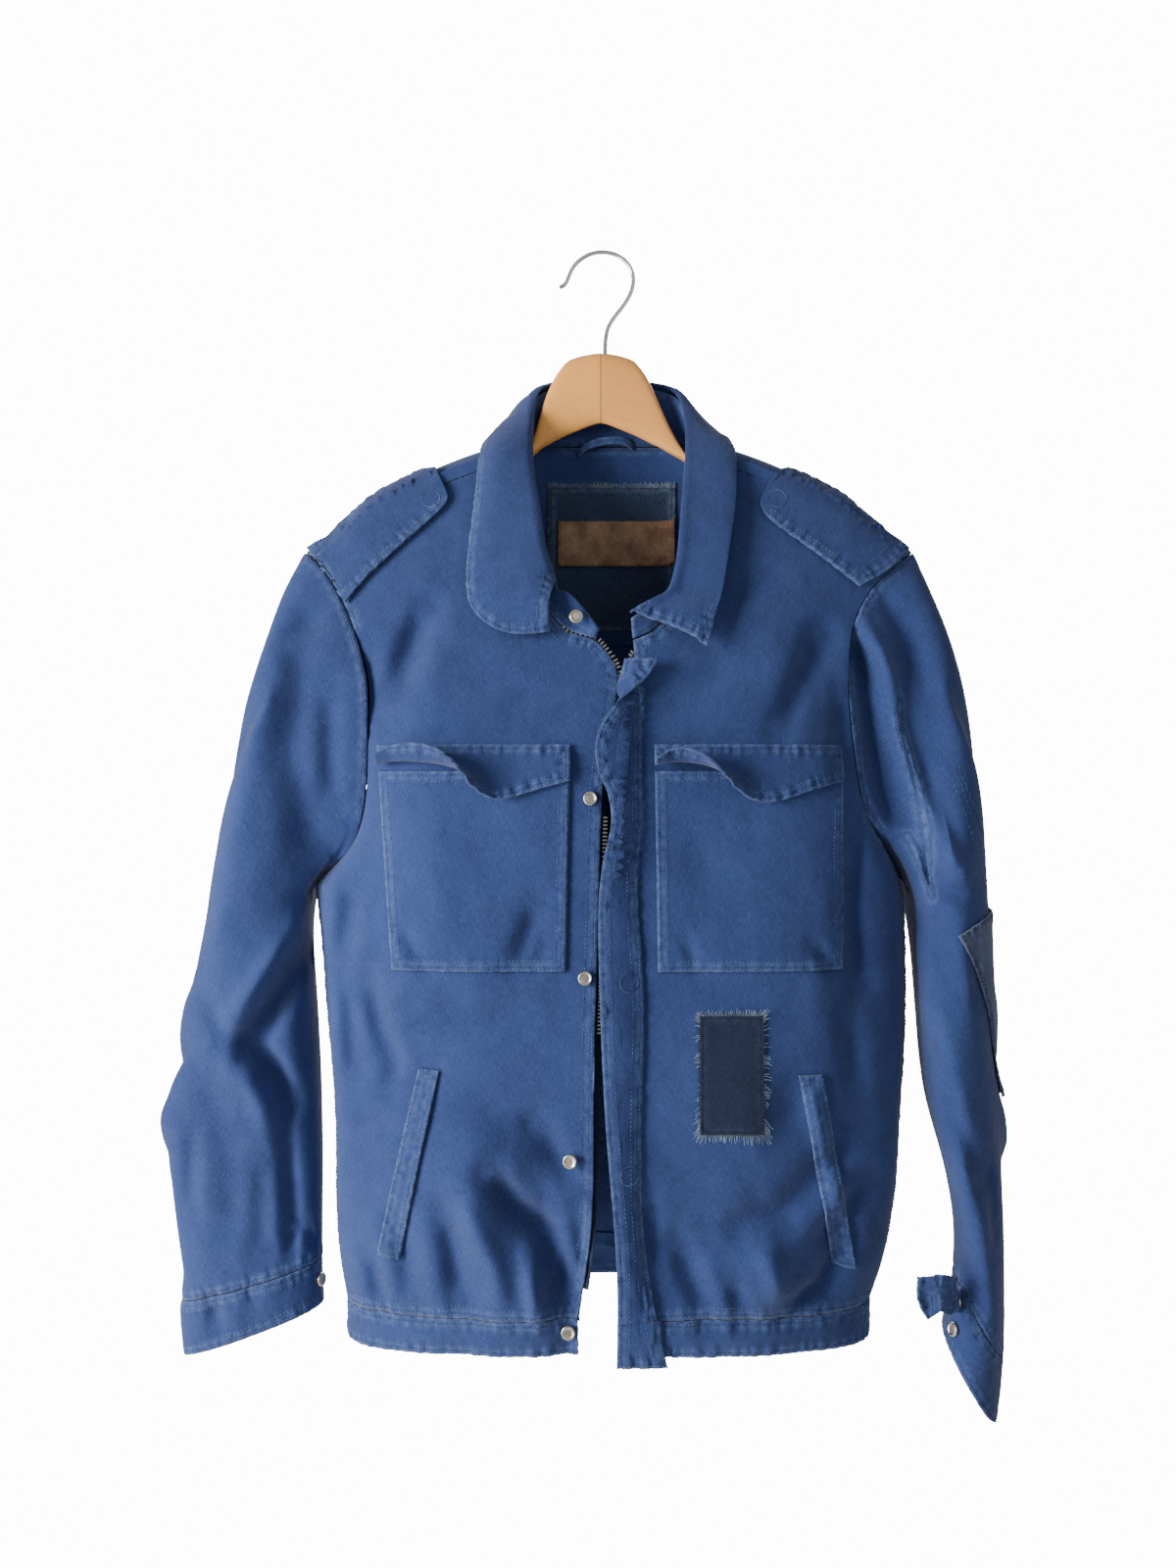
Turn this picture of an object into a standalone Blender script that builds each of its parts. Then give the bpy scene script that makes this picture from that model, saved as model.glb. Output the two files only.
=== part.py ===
"""Patched work jacket hanging open on a wooden clothes hanger.

Frame: +Z up, the front of the jacket faces -Y, metres. The origin is the underside of the
hanger's hook, where a nail or rail carries it. The viewer's left is -X, the wearer's right.
Every cloth piece is a wall made from a grid of points on its outer face. All body pieces
share the same columns, so pieces that are sewn together or lie on each other match.
"""

import bisect
import math

import bpy
from mathutils import Vector

# Cloth and seams
TWILL = 0.0016          # wall of the main cotton cloth
DOUBLE = 0.0020         # collar, epaulettes and bands, cut double
SEAM_GAP = 0.0006       # clear space between two sewn pieces
LAID_GAP = 0.0004       # clear space under a piece that lies on a panel

# Body, measured from the jacket's own middle line
MIDDLE_X = 0.006        # the jacket hangs this far to the right of its hook
NECK_HALF = 0.074       # neck point of the shoulder
RIDGE_TOP = -0.149      # height of the shoulder ridge at the neck point
RIDGE_DROP = 0.26       # slope of the ridge at the neck point
RIDGE_BEND = 1.65       # how much steeper it gets outwards
RIDGE_ROUND = 0.024     # height over which cloth rounds over the hanger
RIDGE_ARC = 0.030       # length of cloth in that rounding, on one side
FORWARD_SEAM = 0.022    # yoke seam, this far down the front from the ridge
HANGER_SWEEP = 0.026    # the arms sweep forward this far at the tips
SIDE_Y = -0.045         # depth of the side seams
ARMPIT_Z = -0.492
CHEST_ROW_Z = -0.362    # the rows fan out to the neck and shoulder above this
YOKE_Z = -0.300         # seam between yoke and back
BAND_HEIGHT = 0.026     # hem band

LEFT, RIGHT = -1, 1     # as the viewer sees the jacket

# Height against half width of the side seam, for each side
SIDE_SEAM = {
    LEFT: ((-0.840, 0.186), (-0.812, 0.193), (-0.784, 0.201), (-0.745, 0.206), (-0.700, 0.206),
           (-0.660, 0.206), (-0.620, 0.210), (-0.560, 0.215), (-0.520, 0.218), (-0.492, 0.222)),
    RIGHT: ((-0.840, 0.178), (-0.815, 0.187), (-0.784, 0.203), (-0.745, 0.213), (-0.700, 0.218),
            (-0.660, 0.219), (-0.620, 0.223), (-0.560, 0.224), (-0.520, 0.223), (-0.492, 0.222)),
}
# Armhole edges: height, half width, depth
ARMHOLE_FRONT = {
    LEFT: ((-0.492, 0.222, -0.045), (-0.482, 0.205, -0.056), (-0.466, 0.190, -0.066),
           (-0.440, 0.180, -0.073), (-0.400, 0.177, -0.076), (-0.350, 0.177, -0.072),
           (-0.317, 0.184, -0.064), (-0.285, 0.197, -0.054), (-0.262, 0.209, -0.046),
           (-0.247, 0.222, -0.040)),
    RIGHT: ((-0.492, 0.222, -0.045), (-0.476, 0.214, -0.054), (-0.460, 0.202, -0.062),
            (-0.438, 0.187, -0.071), (-0.396, 0.179, -0.076), (-0.346, 0.176, -0.071),
            (-0.310, 0.178, -0.063), (-0.282, 0.188, -0.054), (-0.262, 0.203, -0.046),
            (-0.247, 0.222, -0.040)),
}
ARMHOLE_BACK = ((-0.492, 0.222, -0.045), (-0.475, 0.210, -0.030), (-0.450, 0.197, -0.012),
                (-0.410, 0.187, 0.000), (-0.360, 0.183, 0.005), (-0.300, 0.188, 0.004))
# Armhole edge of the yoke from the back seam over the ridge to the forward seam
ARMHOLE_YOKE = ((0.000, 0.188, 0.004, -0.300), (0.125, 0.195, 0.004, -0.284),
                (0.250, 0.207, 0.000, -0.266), (0.375, 0.221, -0.008, -0.2500),
                (0.500, 0.229, -0.015, -0.2430), (0.625, 0.2325, -0.021, -0.2400),
                (0.750, 0.2330, -0.027, -0.2395), (0.875, 0.2300, -0.034, -0.2415),
                (1.000, 0.222, -0.0395, -0.2452))
# Depth of the front at the middle, against height
FRONT_DEPTH = ((-0.840, -0.103), (-0.812, -0.112), (-0.780, -0.123), (-0.735, -0.122),
               (-0.650, -0.117), (-0.550, -0.112), (-0.450, -0.104), (-0.380, -0.096),
               (-0.330, -0.086), (-0.280, -0.070), (-0.240, -0.054), (-0.200, -0.038),
               (-0.155, -0.024))
BACK_Y = 0.017
# Front neckline: half width against height
NECKLINE = ((0.010, -0.3105), (0.032, -0.306), (0.045, -0.293), (0.060, -0.267),
            (0.074, -0.234), (0.083, -0.200))
# Front edges, height against distance right of the middle line
EDGE = {
    LEFT: ((-0.840, -0.024), (-0.800, -0.024), (-0.757, -0.017), (-0.714, -0.012),
           (-0.640, -0.012), (-0.560, -0.010), (-0.486, -0.008), (-0.427, -0.006),
           (-0.389, -0.002), (-0.3387, 0.0068), (-0.330, 0.004), (-0.312, -0.0096)),
    RIGHT: ((-0.840, 0.012), (-0.780, 0.009), (-0.640, 0.008), (-0.500, 0.007),
            (-0.400, 0.011), (-0.360, 0.016), (-0.340, 0.019), (-0.312, 0.017)),
}

# Columns and rows that every body piece shares
STRAIGHT_COLUMNS = (0.032, 0.048, 0.066, 0.084, 0.101, 0.119, 0.137, 0.153, 0.172)
SIDE_COLUMNS = (0.35, 0.65, 0.87, 1.0)      # shares of the way on to the side seam
LOW_ROWS = (-0.772, -0.740, -0.704, -0.667, -0.630, -0.593, -0.556, -0.524,
            ARMPIT_Z, -0.466, -0.440, -0.414, -0.389, CHEST_ROW_Z)
FAN_ROWS = (0.18, 0.36, 0.54, 0.70, 0.85, 1.0)
BACK_FAN_ROWS = (0.5, 1.0)
# Yoke rows: share of the flat part, then the way over the ridge
YOKE_ROWS = ((0.0, 0.0), (0.36, 0.0), (0.72, 0.0), (1.0, 0.0), (1.0, 0.012), (1.0, 0.022),
             (1.0, 0.030), (1.0, 0.039), (1.0, 0.052))

# Largest folds of the fronts: start, end, half width, depth (troughs are positive)
FRONT_FOLDS = {
    LEFT: ((-0.125, -0.285, -0.160, -0.385, 0.013, 0.005), (-0.120, -0.575, -0.146, -0.655, 0.016, 0.006),
           (-0.054, -0.690, -0.028, -0.795, 0.011, 0.011), (-0.050, -0.735, -0.115, -0.790, 0.015, 0.007),
           (-0.170, -0.470, -0.178, -0.700, 0.014, 0.008), (-0.092, -0.640, -0.085, -0.740, 0.018, -0.005)),
    RIGHT: ((0.160, -0.290, 0.152, -0.380, 0.013, 0.007), (0.180, -0.480, 0.182, -0.620, 0.013, 0.007),
            (0.060, -0.690, 0.045, -0.780, 0.014, 0.006), (0.150, -0.720, 0.085, -0.780, 0.016, -0.006),
            (0.135, -0.790, 0.165, -0.760, 0.012, 0.009), (0.100, -0.600, 0.108, -0.680, 0.020, -0.004)),
}
BACK_FOLDS = ((-0.100, -0.480, -0.070, -0.760, 0.030, 0.007), (0.110, -0.460, 0.080, -0.740, 0.030, 0.007),
              (-0.155, -0.420, -0.150, -0.640, 0.020, 0.006), (0.158, -0.430, 0.150, -0.650, 0.020, 0.006),
              (0.000, -0.500, 0.005, -0.780, 0.028, 0.005))

MATERIALS = {
    "twill": ((0.045, 0.105, 0.290), 0.85, 0.0),
    "denim": ((0.012, 0.028, 0.075), 0.90, 0.0),
    "slate": ((0.050, 0.080, 0.160), 0.88, 0.0),
    "leather": ((0.110, 0.050, 0.022), 0.70, 0.0),
    "zip_tape": ((0.012, 0.028, 0.080), 0.80, 0.0),
    "metal": ((0.560, 0.520, 0.440), 0.35, 1.0),
    "wood": ((0.760, 0.420, 0.190), 0.50, 0.0),
    "steel": ((0.700, 0.700, 0.680), 0.25, 1.0),
}


def mix(a, b, t):
    return a + (b - a) * t


def ease(a, b, x):
    """0 before a, 1 after b, smooth between them."""
    t = min(1.0, max(0.0, (x - a) / (b - a)))
    return t * t * (3 - 2 * t)


def along(knots, x, value=1):
    """Smooth value at x through knots, each a row that starts with its own x in rising order."""
    xs = [k[0] for k in knots]
    if x <= xs[0]:
        return knots[0][value]
    if x >= xs[-1]:
        return knots[-1][value]
    i = bisect.bisect_right(xs, x) - 1
    slopes = [(knots[k + 1][value] - knots[k][value]) / (xs[k + 1] - xs[k]) for k in range(len(xs) - 1)]

    def tangent(k):
        if k == 0:
            return slopes[0]
        if k == len(xs) - 1:
            return slopes[-1]
        before, after = slopes[k - 1], slopes[k]
        return 0.0 if before * after <= 0 else 2 * before * after / (before + after)

    width = xs[i + 1] - xs[i]
    t = (x - xs[i]) / width
    start, end = knots[i][value], knots[i + 1][value]
    return ((1 + 2 * t) * (1 - t) ** 2 * start + t * t * (3 - 2 * t) * end
            + width * t * (1 - t) ** 2 * tangent(i) - width * t * t * (1 - t) * tangent(i + 1))


def fold_depth(folds, x, z):
    """How far the folds push the cloth in at a place on the front or back."""
    total = 0.0
    for x0, z0, x1, z1, width, depth in folds:
        dx, dz = x1 - x0, z1 - z0
        t = ((x - x0) * dx + (z - z0) * dz) / (dx * dx + dz * dz)
        taper = math.exp(-(max(0.0, abs(t - 0.5) - 0.35) / 0.18) ** 2)
        t = min(1.0, max(0.0, t))
        away = math.hypot(x - x0 - t * dx, z - z0 - t * dz)
        total += depth * taper * math.exp(-(away / width) ** 2)
    return total


# Body surface. Half widths are positive, and side gives the sign of x.

def ridge_z(half):
    s = max(0.0, half - NECK_HALF)
    return RIDGE_TOP - RIDGE_DROP * s - RIDGE_BEND * s * s


def ridge_y(half):
    return -0.004 - HANGER_SWEEP * (half / 0.237) ** 2


def side_round(half, z, outer):
    """0 on the flat of the body, 1 at the side seam, below the armpit."""
    share = min(1.0, half / outer)
    boxy = (1 - share ** 3.2) ** 0.45
    return (1 - boxy) * (1 - ease(ARMPIT_Z, ARMPIT_Z + 0.06, z))


def front_y(side, x, z, outer=0.222):
    """Depth of the front's outer face at x from the middle line, below the shoulder rounding."""
    half = abs(x)
    below = ridge_z(half) - z
    lifted = z + (RIDGE_TOP - ridge_z(half)) * (1 - ease(0.0, 0.15, below))
    y = along(FRONT_DEPTH, lifted) + (ridge_y(half) - ridge_y(0)) * (1 - ease(0.0, 0.15, below))
    y = mix(y, SIDE_Y, side_round(half, z, outer))
    return y + fold_depth(FRONT_FOLDS[side], x, z)


def back_y(x, z, outer=0.222):
    half = abs(x)
    below = ridge_z(half) - z
    y = mix(ridge_y(half) + 0.016, BACK_Y, ease(0.0, 0.12, below))
    y = mix(y, SIDE_Y, side_round(half, z, outer))
    return y - fold_depth(BACK_FOLDS, x, z) * ease(0.20, 0.12, half)


def over_ridge(side, x, down, front):
    """A point on the shoulder, this far down the cloth from the ridge, on the front or the back."""
    half = abs(x)
    if down > RIDGE_ARC:
        z = ridge_z(half) - RIDGE_ROUND - (down - RIDGE_ARC)
        y = front_y(side, x, z) if front else back_y(x, z)
        return Vector((x, y, z))
    turn = down / RIDGE_ARC * math.pi / 2
    z = ridge_z(half) - RIDGE_ROUND * (1 - math.cos(turn))
    foot = front_y(side, x, z) if front else back_y(x, z)
    return Vector((x, mix(ridge_y(half), foot, math.sin(turn)), z))


def hem_seam_z(half, front):
    """Height of the seam between body and hem band."""
    share = (half / 0.19) ** 2
    return -0.793 - 0.005 * share if front else -0.779 - 0.021 * share


def column_halves(outer):
    """Half widths of the shared columns for one row."""
    last = min(STRAIGHT_COLUMNS[-1], outer - 0.008)
    return list(STRAIGHT_COLUMNS[:-1]) + [last] + [mix(last, outer, share) for share in SIDE_COLUMNS]


def to_edge(point, edge_now, edge_wanted, share):
    """Pull a point so that its row ends on the armhole edge."""
    return point + (edge_wanted - edge_now) * share ** 6


def front_row(side, row):
    """One row of a front, from the front edge to the side, as points relative to the middle line."""
    edge = EDGE[side]
    fan = row - len(LOW_ROWS)
    if row == 0:
        edge_z = hem_seam_z(0.19, True)
        outer = along(SIDE_SEAM[side], edge_z)
    elif fan <= 0:
        edge_z = LOW_ROWS[row - 1]
        outer = along(SIDE_SEAM[side], edge_z) if edge_z <= ARMPIT_Z else along(ARMHOLE_FRONT[side], edge_z)
    else:
        edge_z = mix(CHEST_ROW_Z, ARMHOLE_FRONT[side][-1][0], FAN_ROWS[fan - 1])
        outer = along(ARMHOLE_FRONT[side], edge_z)
    edge_y = SIDE_Y if edge_z <= ARMPIT_Z else along(ARMHOLE_FRONT[side], edge_z, 2)

    def surface(x):
        half = abs(x)
        if row == 0:
            z = hem_seam_z(half, True)
        elif fan <= 0:
            z = LOW_ROWS[row - 1]
        else:
            share = FAN_ROWS[fan - 1]
            if half < NECKLINE[-1][0]:
                top = along(NECKLINE, half)
                z = mix(CHEST_ROW_Z, top, share)
            else:
                straight = ridge_z(half) - RIDGE_ROUND - CHEST_ROW_Z
                arc = RIDGE_ARC - FORWARD_SEAM - SEAM_GAP
                travel = share * (straight + arc)
                if travel > straight:
                    return over_ridge(side, x, RIDGE_ARC - (travel - straight), True)
                z = CHEST_ROW_Z + travel
        return Vector((x, front_y(side, x, z, outer), z))

    points = []
    for half in column_halves(outer):
        point = surface(side * half)
        wanted = Vector((side * outer, edge_y, edge_z))
        points.append(to_edge(point, surface(side * outer), wanted, half / outer))
    first_z = points[0].z if fan <= 0 else mix(CHEST_ROW_Z, edge[-1][0], FAN_ROWS[fan - 1])
    x = along(edge, first_z)
    first = Vector((x, front_y(side, x, first_z), first_z))
    middle = first.lerp(points[0], 0.5)
    middle.y = front_y(side, middle.x, middle.z)
    return [first, middle] + points


def front_grid(side):
    rows = [front_row(side, r) for r in range(1 + len(LOW_ROWS) + len(FAN_ROWS))]
    for row in rows:
        row[-1].y -= SEAM_GAP / 2 if row[-1].z < ARMPIT_Z + 0.001 else 0.0
    return rows if side == RIGHT else [row[::-1] for row in rows]


def back_row(row):
    """One row of the back from the viewer's left to right, below the yoke."""
    fan = row - len(LOW_ROWS)
    half_rows = {}
    for side in (LEFT, RIGHT):
        if row == 0:
            edge_z = hem_seam_z(0.19, False)
            outer = along(SIDE_SEAM[side], edge_z)
        elif fan <= 0:
            edge_z = LOW_ROWS[row - 1]
            outer = along(SIDE_SEAM[side], edge_z) if edge_z <= ARMPIT_Z else along(ARMHOLE_BACK, edge_z)
        else:
            edge_z = mix(CHEST_ROW_Z, YOKE_Z - SEAM_GAP, BACK_FAN_ROWS[fan - 1])
            outer = along(ARMHOLE_BACK, edge_z)
        edge_y = SIDE_Y if edge_z <= ARMPIT_Z else along(ARMHOLE_BACK, edge_z, 2)
        points = []
        for half in [0.0] + column_halves(outer):
            z = hem_seam_z(half, False) if row == 0 else edge_z
            x = side * half
            point = Vector((x, back_y(x, z, outer), z))
            now = Vector((side * outer, back_y(side * outer, edge_z, outer), edge_z))
            wanted = Vector((side * outer, edge_y, edge_z))
            points.append(to_edge(point, now, wanted, half / outer))
        if edge_z < ARMPIT_Z + 0.001:
            points[-1].y += SEAM_GAP / 2
        half_rows[side] = points
    return half_rows[LEFT][:0:-1] + half_rows[RIGHT]


def back_grid():
    rows = [back_row(r) for r in range(1 + len(LOW_ROWS) + len(BACK_FAN_ROWS))]
    return [row[::-1] for row in rows]


def yoke_top(half):
    """0 where the yoke ends at the back neckline, 1 where it runs over to the forward seam."""
    return ease(0.060, 0.083, half)


def yoke_point(side, x, row):
    """A point of the yoke, from the back seam at row 0 to the neckline or the forward seam."""
    half = abs(x)
    flat, over = YOKE_ROWS[row]
    z = YOKE_Z + 0.150 * row / (len(YOKE_ROWS) - 1)
    at_neck = Vector((x, back_y(x, z), z))
    if over > 0:
        way = over - RIDGE_ARC
        shoulder = over_ridge(side, x, abs(way), way > 0)
    else:
        z = mix(YOKE_Z, ridge_z(half) - RIDGE_ROUND, flat)
        shoulder = Vector((x, back_y(x, z), z))
    return at_neck.lerp(shoulder, yoke_top(half))


def yoke_row(row):
    share = row / (len(YOKE_ROWS) - 1)
    wanted = Vector([along(ARMHOLE_YOKE, share, v) for v in (1, 2, 3)])
    half_rows = {}
    for side in (LEFT, RIGHT):
        goal = Vector((side * wanted.x, wanted.y, wanted.z))
        now = yoke_point(side, goal.x, row)
        points = [yoke_point(side, 0.0, row)]
        for half in column_halves(wanted.x):
            point = yoke_point(side, side * half, row)
            points.append(to_edge(point, now, goal, half / wanted.x))
        half_rows[side] = points
    return half_rows[LEFT][:0:-1] + half_rows[RIGHT]


def yoke_grid():
    return [yoke_row(row)[::-1] for row in range(len(YOKE_ROWS))]


# Solids

def placed(point):
    return Vector((point.x + MIDDLE_X, point.y, point.z))


def vertex_normals(grid, closed=False):
    """Outward normals of a grid: across the columns, then up the rows."""
    rows, cols = len(grid), len(grid[0])
    normals = []
    for r in range(rows):
        line = []
        for c in range(cols):
            left = grid[r][(c - 1) % cols] if closed else grid[r][max(0, c - 1)]
            right = grid[r][(c + 1) % cols] if closed else grid[r][min(cols - 1, c + 1)]
            across = right - left
            up = grid[min(rows - 1, r + 1)][c] - grid[max(0, r - 1)][c]
            line.append(across.cross(up).normalized())
        normals.append(line)
    return normals


def square_side_seams(grid, normals):
    """Turn the wall straight sideways along the side seams, so that both panels meet squarely."""
    for row, line in zip(grid, normals):
        for end in (0, -1):
            if row[end].z < ARMPIT_Z + 0.001 and abs(row[end].x) > STRAIGHT_COLUMNS[-1]:
                line[end] = Vector((math.copysign(1, row[end].x), 0, 0))
    return normals


def inner_grid(grid, thickness, closed=False, seams=False):
    normals = vertex_normals(grid, closed)
    if seams:
        normals = square_side_seams(grid, normals)
    return [[p - n * thickness for p, n in zip(row, line)] for row, line in zip(grid, normals)]


def finish(name):
    found = bpy.data.materials.get(name)
    if found:
        return found
    colour, roughness, metallic = MATERIALS[name]
    material = bpy.data.materials.new(name)
    material.use_nodes = True
    shader = material.node_tree.nodes["Principled BSDF"]
    shader.inputs["Base Color"].default_value = (*colour, 1)
    shader.inputs["Roughness"].default_value = roughness
    shader.inputs["Metallic"].default_value = metallic
    return material


def new_object(name, verts, faces, material):
    mesh = bpy.data.meshes.new(name)
    mesh.from_pydata([placed(v) for v in verts], [], faces)
    mesh.update()
    mesh.shade_smooth()
    mesh.set_sharp_from_angle(angle=math.radians(40))
    mesh.materials.append(finish(material))
    obj = bpy.data.objects.new(name, mesh)
    bpy.context.scene.collection.objects.link(obj)
    obj.parent = ROOT
    return obj


def wall(name, outer, inner, material, closed=False):
    """A closed wall between two grids of the same size, open tubes included."""
    rows, cols = len(outer), len(outer[0])
    verts = [p for grid in (outer, inner) for row in grid for p in row]
    base = rows * cols

    def at(r, c, layer):
        return layer * base + r * cols + c % cols

    faces = []
    for r in range(rows - 1):
        for c in range(cols if closed else cols - 1):
            a, b, d, e = at(r, c, 0), at(r, c + 1, 0), at(r + 1, c + 1, 0), at(r + 1, c, 0)
            faces += [(a, b, d), (a, d, e)]
            faces += [(a + base, d + base, b + base), (a + base, e + base, d + base)]
    top = rows - 1
    for c in range(cols if closed else cols - 1):
        faces.append((at(0, c, 1), at(0, c + 1, 1), at(0, c + 1, 0), at(0, c, 0)))
        faces.append((at(top, c, 0), at(top, c + 1, 0), at(top, c + 1, 1), at(top, c, 1)))
    if not closed:
        end = cols - 1
        for r in range(rows - 1):
            faces.append((at(r, 0, 0), at(r + 1, 0, 0), at(r + 1, 0, 1), at(r, 0, 1)))
            faces.append((at(r, end, 1), at(r + 1, end, 1), at(r + 1, end, 0), at(r, end, 0)))
    return new_object(name, verts, faces, material)


def on_facets(grid, row, col):
    """The value at fractional indices of a grid, on the same triangles that the wall is made of."""
    r, c = min(int(row), len(grid) - 2), min(int(col), len(grid[0]) - 2)
    v, u = row - r, col - c
    a, b, d, e = grid[r][c], grid[r][c + 1], grid[r + 1][c + 1], grid[r + 1][c]
    if u >= v:
        return a + (b - a) * u + (d - b) * v
    return a + (d - e) * u + (e - a) * v


def laid_on(grid, places, gap, thickness):
    """Outer and inner grids of a piece that lies on a panel, cut on the panel's own facets."""
    normals = vertex_normals(grid)
    outer, inner = [], []
    for line in places:
        points = [on_facets(grid, row, col) for row, col in line]
        turned = [on_facets(normals, row, col).normalized() for row, col in line]
        inner.append([p + n * gap for p, n in zip(points, turned)])
        outer.append([p + n * (gap + thickness) for p, n in zip(points, turned)])
    return outer, inner


def steps(a, b, count):
    return [mix(a, b, i / (count - 1)) for i in range(count)]


def locate(grid, x, z):
    """Fractional row and column of a place on a front, where its rows are level."""
    middle = len(grid[0]) // 2
    levels = [row[middle].z for row in grid]
    r = min(max(bisect.bisect_right(levels, z) - 1, 0), len(grid) - 2)
    v = (z - levels[r]) / (levels[r + 1] - levels[r])
    xs = [mix(a.x, b.x, v) for a, b in zip(grid[r], grid[r + 1])]
    c = min(max(bisect.bisect_right(xs, x) - 1, 0), len(xs) - 2)
    return r + v, c + min(1.0, max(0.0, (x - xs[c]) / (xs[c + 1] - xs[c])))


# Body: two fronts, back and yoke

FRONTS = {side: front_grid(side) for side in (LEFT, RIGHT)}
BACK = back_grid()
YOKE = yoke_grid()


def build_body():
    wall("front_right", FRONTS[LEFT], inner_grid(FRONTS[LEFT], TWILL, seams=True), "twill")
    wall("front_left", FRONTS[RIGHT], inner_grid(FRONTS[RIGHT], TWILL, seams=True), "twill")
    wall("back", BACK, inner_grid(BACK, TWILL, seams=True), "twill")
    wall("back_yoke", YOKE, inner_grid(YOKE, TWILL), "twill")


def band_rows(grid):
    """A doubled band under a front or the back, its top just clear of the hem row."""
    rows = []
    back = 1 if grid is BACK else -1
    for drop, out in ((1.0, -0.002), (0.5, 0.0012), (0.0, 0.0)):
        line = []
        for point in grid[0]:
            wave = 0.0016 * math.sin(point.x * 210) * drop
            share = 1 - min(1.0, abs(point.x) / 0.18) ** 6
            y = point.y + back * (out + wave) * share
            line.append(Vector((point.x, y, point.z - SEAM_GAP - BAND_HEIGHT * drop)))
        rows.append(line)
    return rows


BANDS = {LEFT: band_rows(FRONTS[LEFT]), RIGHT: band_rows(FRONTS[RIGHT]), "back": band_rows(BACK)}
FACES = {side: [BANDS[side] + FRONTS[side], YOKE] for side in (LEFT, RIGHT)}


def surface_y(side, x, z):
    """Depth of the foremost facet of a front, its hem band and the yoke at a place."""
    found = []
    for grid in FACES[side]:
        for low, high in zip(grid, grid[1:]):
            for a, b, d, e in zip(low, low[1:], high[1:], high):
                if min(a.x, b.x, d.x, e.x) > x or max(a.x, b.x, d.x, e.x) < x:
                    continue
                for p, q, r in ((a, b, d), (a, d, e)):
                    area = (q.x - p.x) * (r.z - p.z) - (r.x - p.x) * (q.z - p.z)
                    if abs(area) < 1e-12:
                        continue
                    u = ((x - p.x) * (r.z - p.z) - (r.x - p.x) * (z - p.z)) / area
                    v = ((q.x - p.x) * (z - p.z) - (x - p.x) * (q.z - p.z)) / area
                    if u >= -1e-6 and v >= -1e-6 and u + v <= 1 + 1e-6:
                        found.append(p.y + u * (q.y - p.y) + v * (r.y - p.y))
    return min(found) if found else None


def build_hem_band():
    for name, key in (("hem_band_right", LEFT), ("hem_band_left", RIGHT), ("hem_band_back", "back")):
        wall(name, BANDS[key], inner_grid(BANDS[key], DOUBLE, seams=True), "twill")


# Sleeves: rings that fan out round the armpit and then run down the arm. Each row holds the
# outer x and z, the inner x and z, the half depth and the skew of one ring.
SLEEVE_RINGS = {
    LEFT: ((0.2335, -0.2385, 0.2220, -0.4920, 0.052, 0.0), (0.2470, -0.2620, 0.2228, -0.4955, 0.052, 0.0),
           (0.2575, -0.2920, 0.2236, -0.4990, 0.053, 0.0), (0.2675, -0.3280, 0.2243, -0.5030, 0.054, 0.0),
           (0.2790, -0.3700, 0.2247, -0.5080, 0.054, 0.0), (0.2890, -0.4150, 0.2250, -0.5150, 0.053, 0.0),
           (0.2970, -0.4620, 0.2255, -0.5250, 0.052, 0.0), (0.3060, -0.5100, 0.2255, -0.5400, 0.050, 0.0),
           (0.3155, -0.5550, 0.2235, -0.5620, 0.048, 0.0), (0.3250, -0.6000, 0.2210, -0.5920, 0.045, 0.0),
           (0.3325, -0.6450, 0.2190, -0.6280, 0.042, 0.0), (0.3340, -0.6850, 0.2180, -0.6640, 0.039, 0.0),
           (0.3325, -0.7220, 0.2170, -0.6980, 0.036, 0.0), (0.3300, -0.7550, 0.2175, -0.7280, 0.033, 0.0),
           (0.3275, -0.7850, 0.2175, -0.7540, 0.030, 0.0), (0.3260, -0.8065, 0.2176, -0.7750, 0.028, 0.0)),
    RIGHT: ((0.2335, -0.2385, 0.2220, -0.4920, 0.052, 0.0), (0.2440, -0.2620, 0.2228, -0.4955, 0.053, 0.0),
            (0.2555, -0.2920, 0.2236, -0.4990, 0.055, 0.0), (0.2660, -0.3300, 0.2243, -0.5030, 0.057, 0.0),
            (0.2750, -0.3740, 0.2250, -0.5080, 0.058, 0.0), (0.2810, -0.4200, 0.2260, -0.5160, 0.059, 0.05),
            (0.2850, -0.4660, 0.2272, -0.5280, 0.060, 0.10), (0.2880, -0.5130, 0.2290, -0.5460, 0.060, 0.15),
            (0.2910, -0.5600, 0.2310, -0.5720, 0.060, 0.18), (0.2935, -0.6060, 0.2330, -0.6060, 0.059, 0.20),
            (0.2955, -0.6500, 0.2370, -0.6420, 0.058, 0.22), (0.2975, -0.6920, 0.2465, -0.6780, 0.056, 0.24),
            (0.2995, -0.7300, 0.2555, -0.7100, 0.054, 0.25), (0.3010, -0.7680, 0.2610, -0.7380, 0.051, 0.25),
            (0.3015, -0.8080, 0.2630, -0.7600, 0.047, 0.25), (0.3000, -0.8470, 0.2625, -0.7790, 0.043, 0.25)),
}
CUFF_RINGS = {
    LEFT: ((0.3262, -0.8074, 0.2178, -0.7759, 0.0285, 0.0), (0.3255, -0.8280, 0.2172, -0.7920, 0.0285, 0.0),
           (0.3230, -0.8480, 0.2162, -0.8090, 0.0270, 0.0)),
    RIGHT: ((0.3000, -0.8479, 0.2625, -0.7799, 0.0435, 0.25),
            (0.2985, -0.8730, 0.2580, -0.8030, 0.0430, 0.25),
            (0.2945, -0.8970, 0.2525, -0.8260, 0.0400, 0.25)),
}
SLEEVE_Y = -0.037
BLEND = (0.0, 0.22, 0.45, 0.68, 0.86, 1.0)      # from the armhole's shape to an oval
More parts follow.
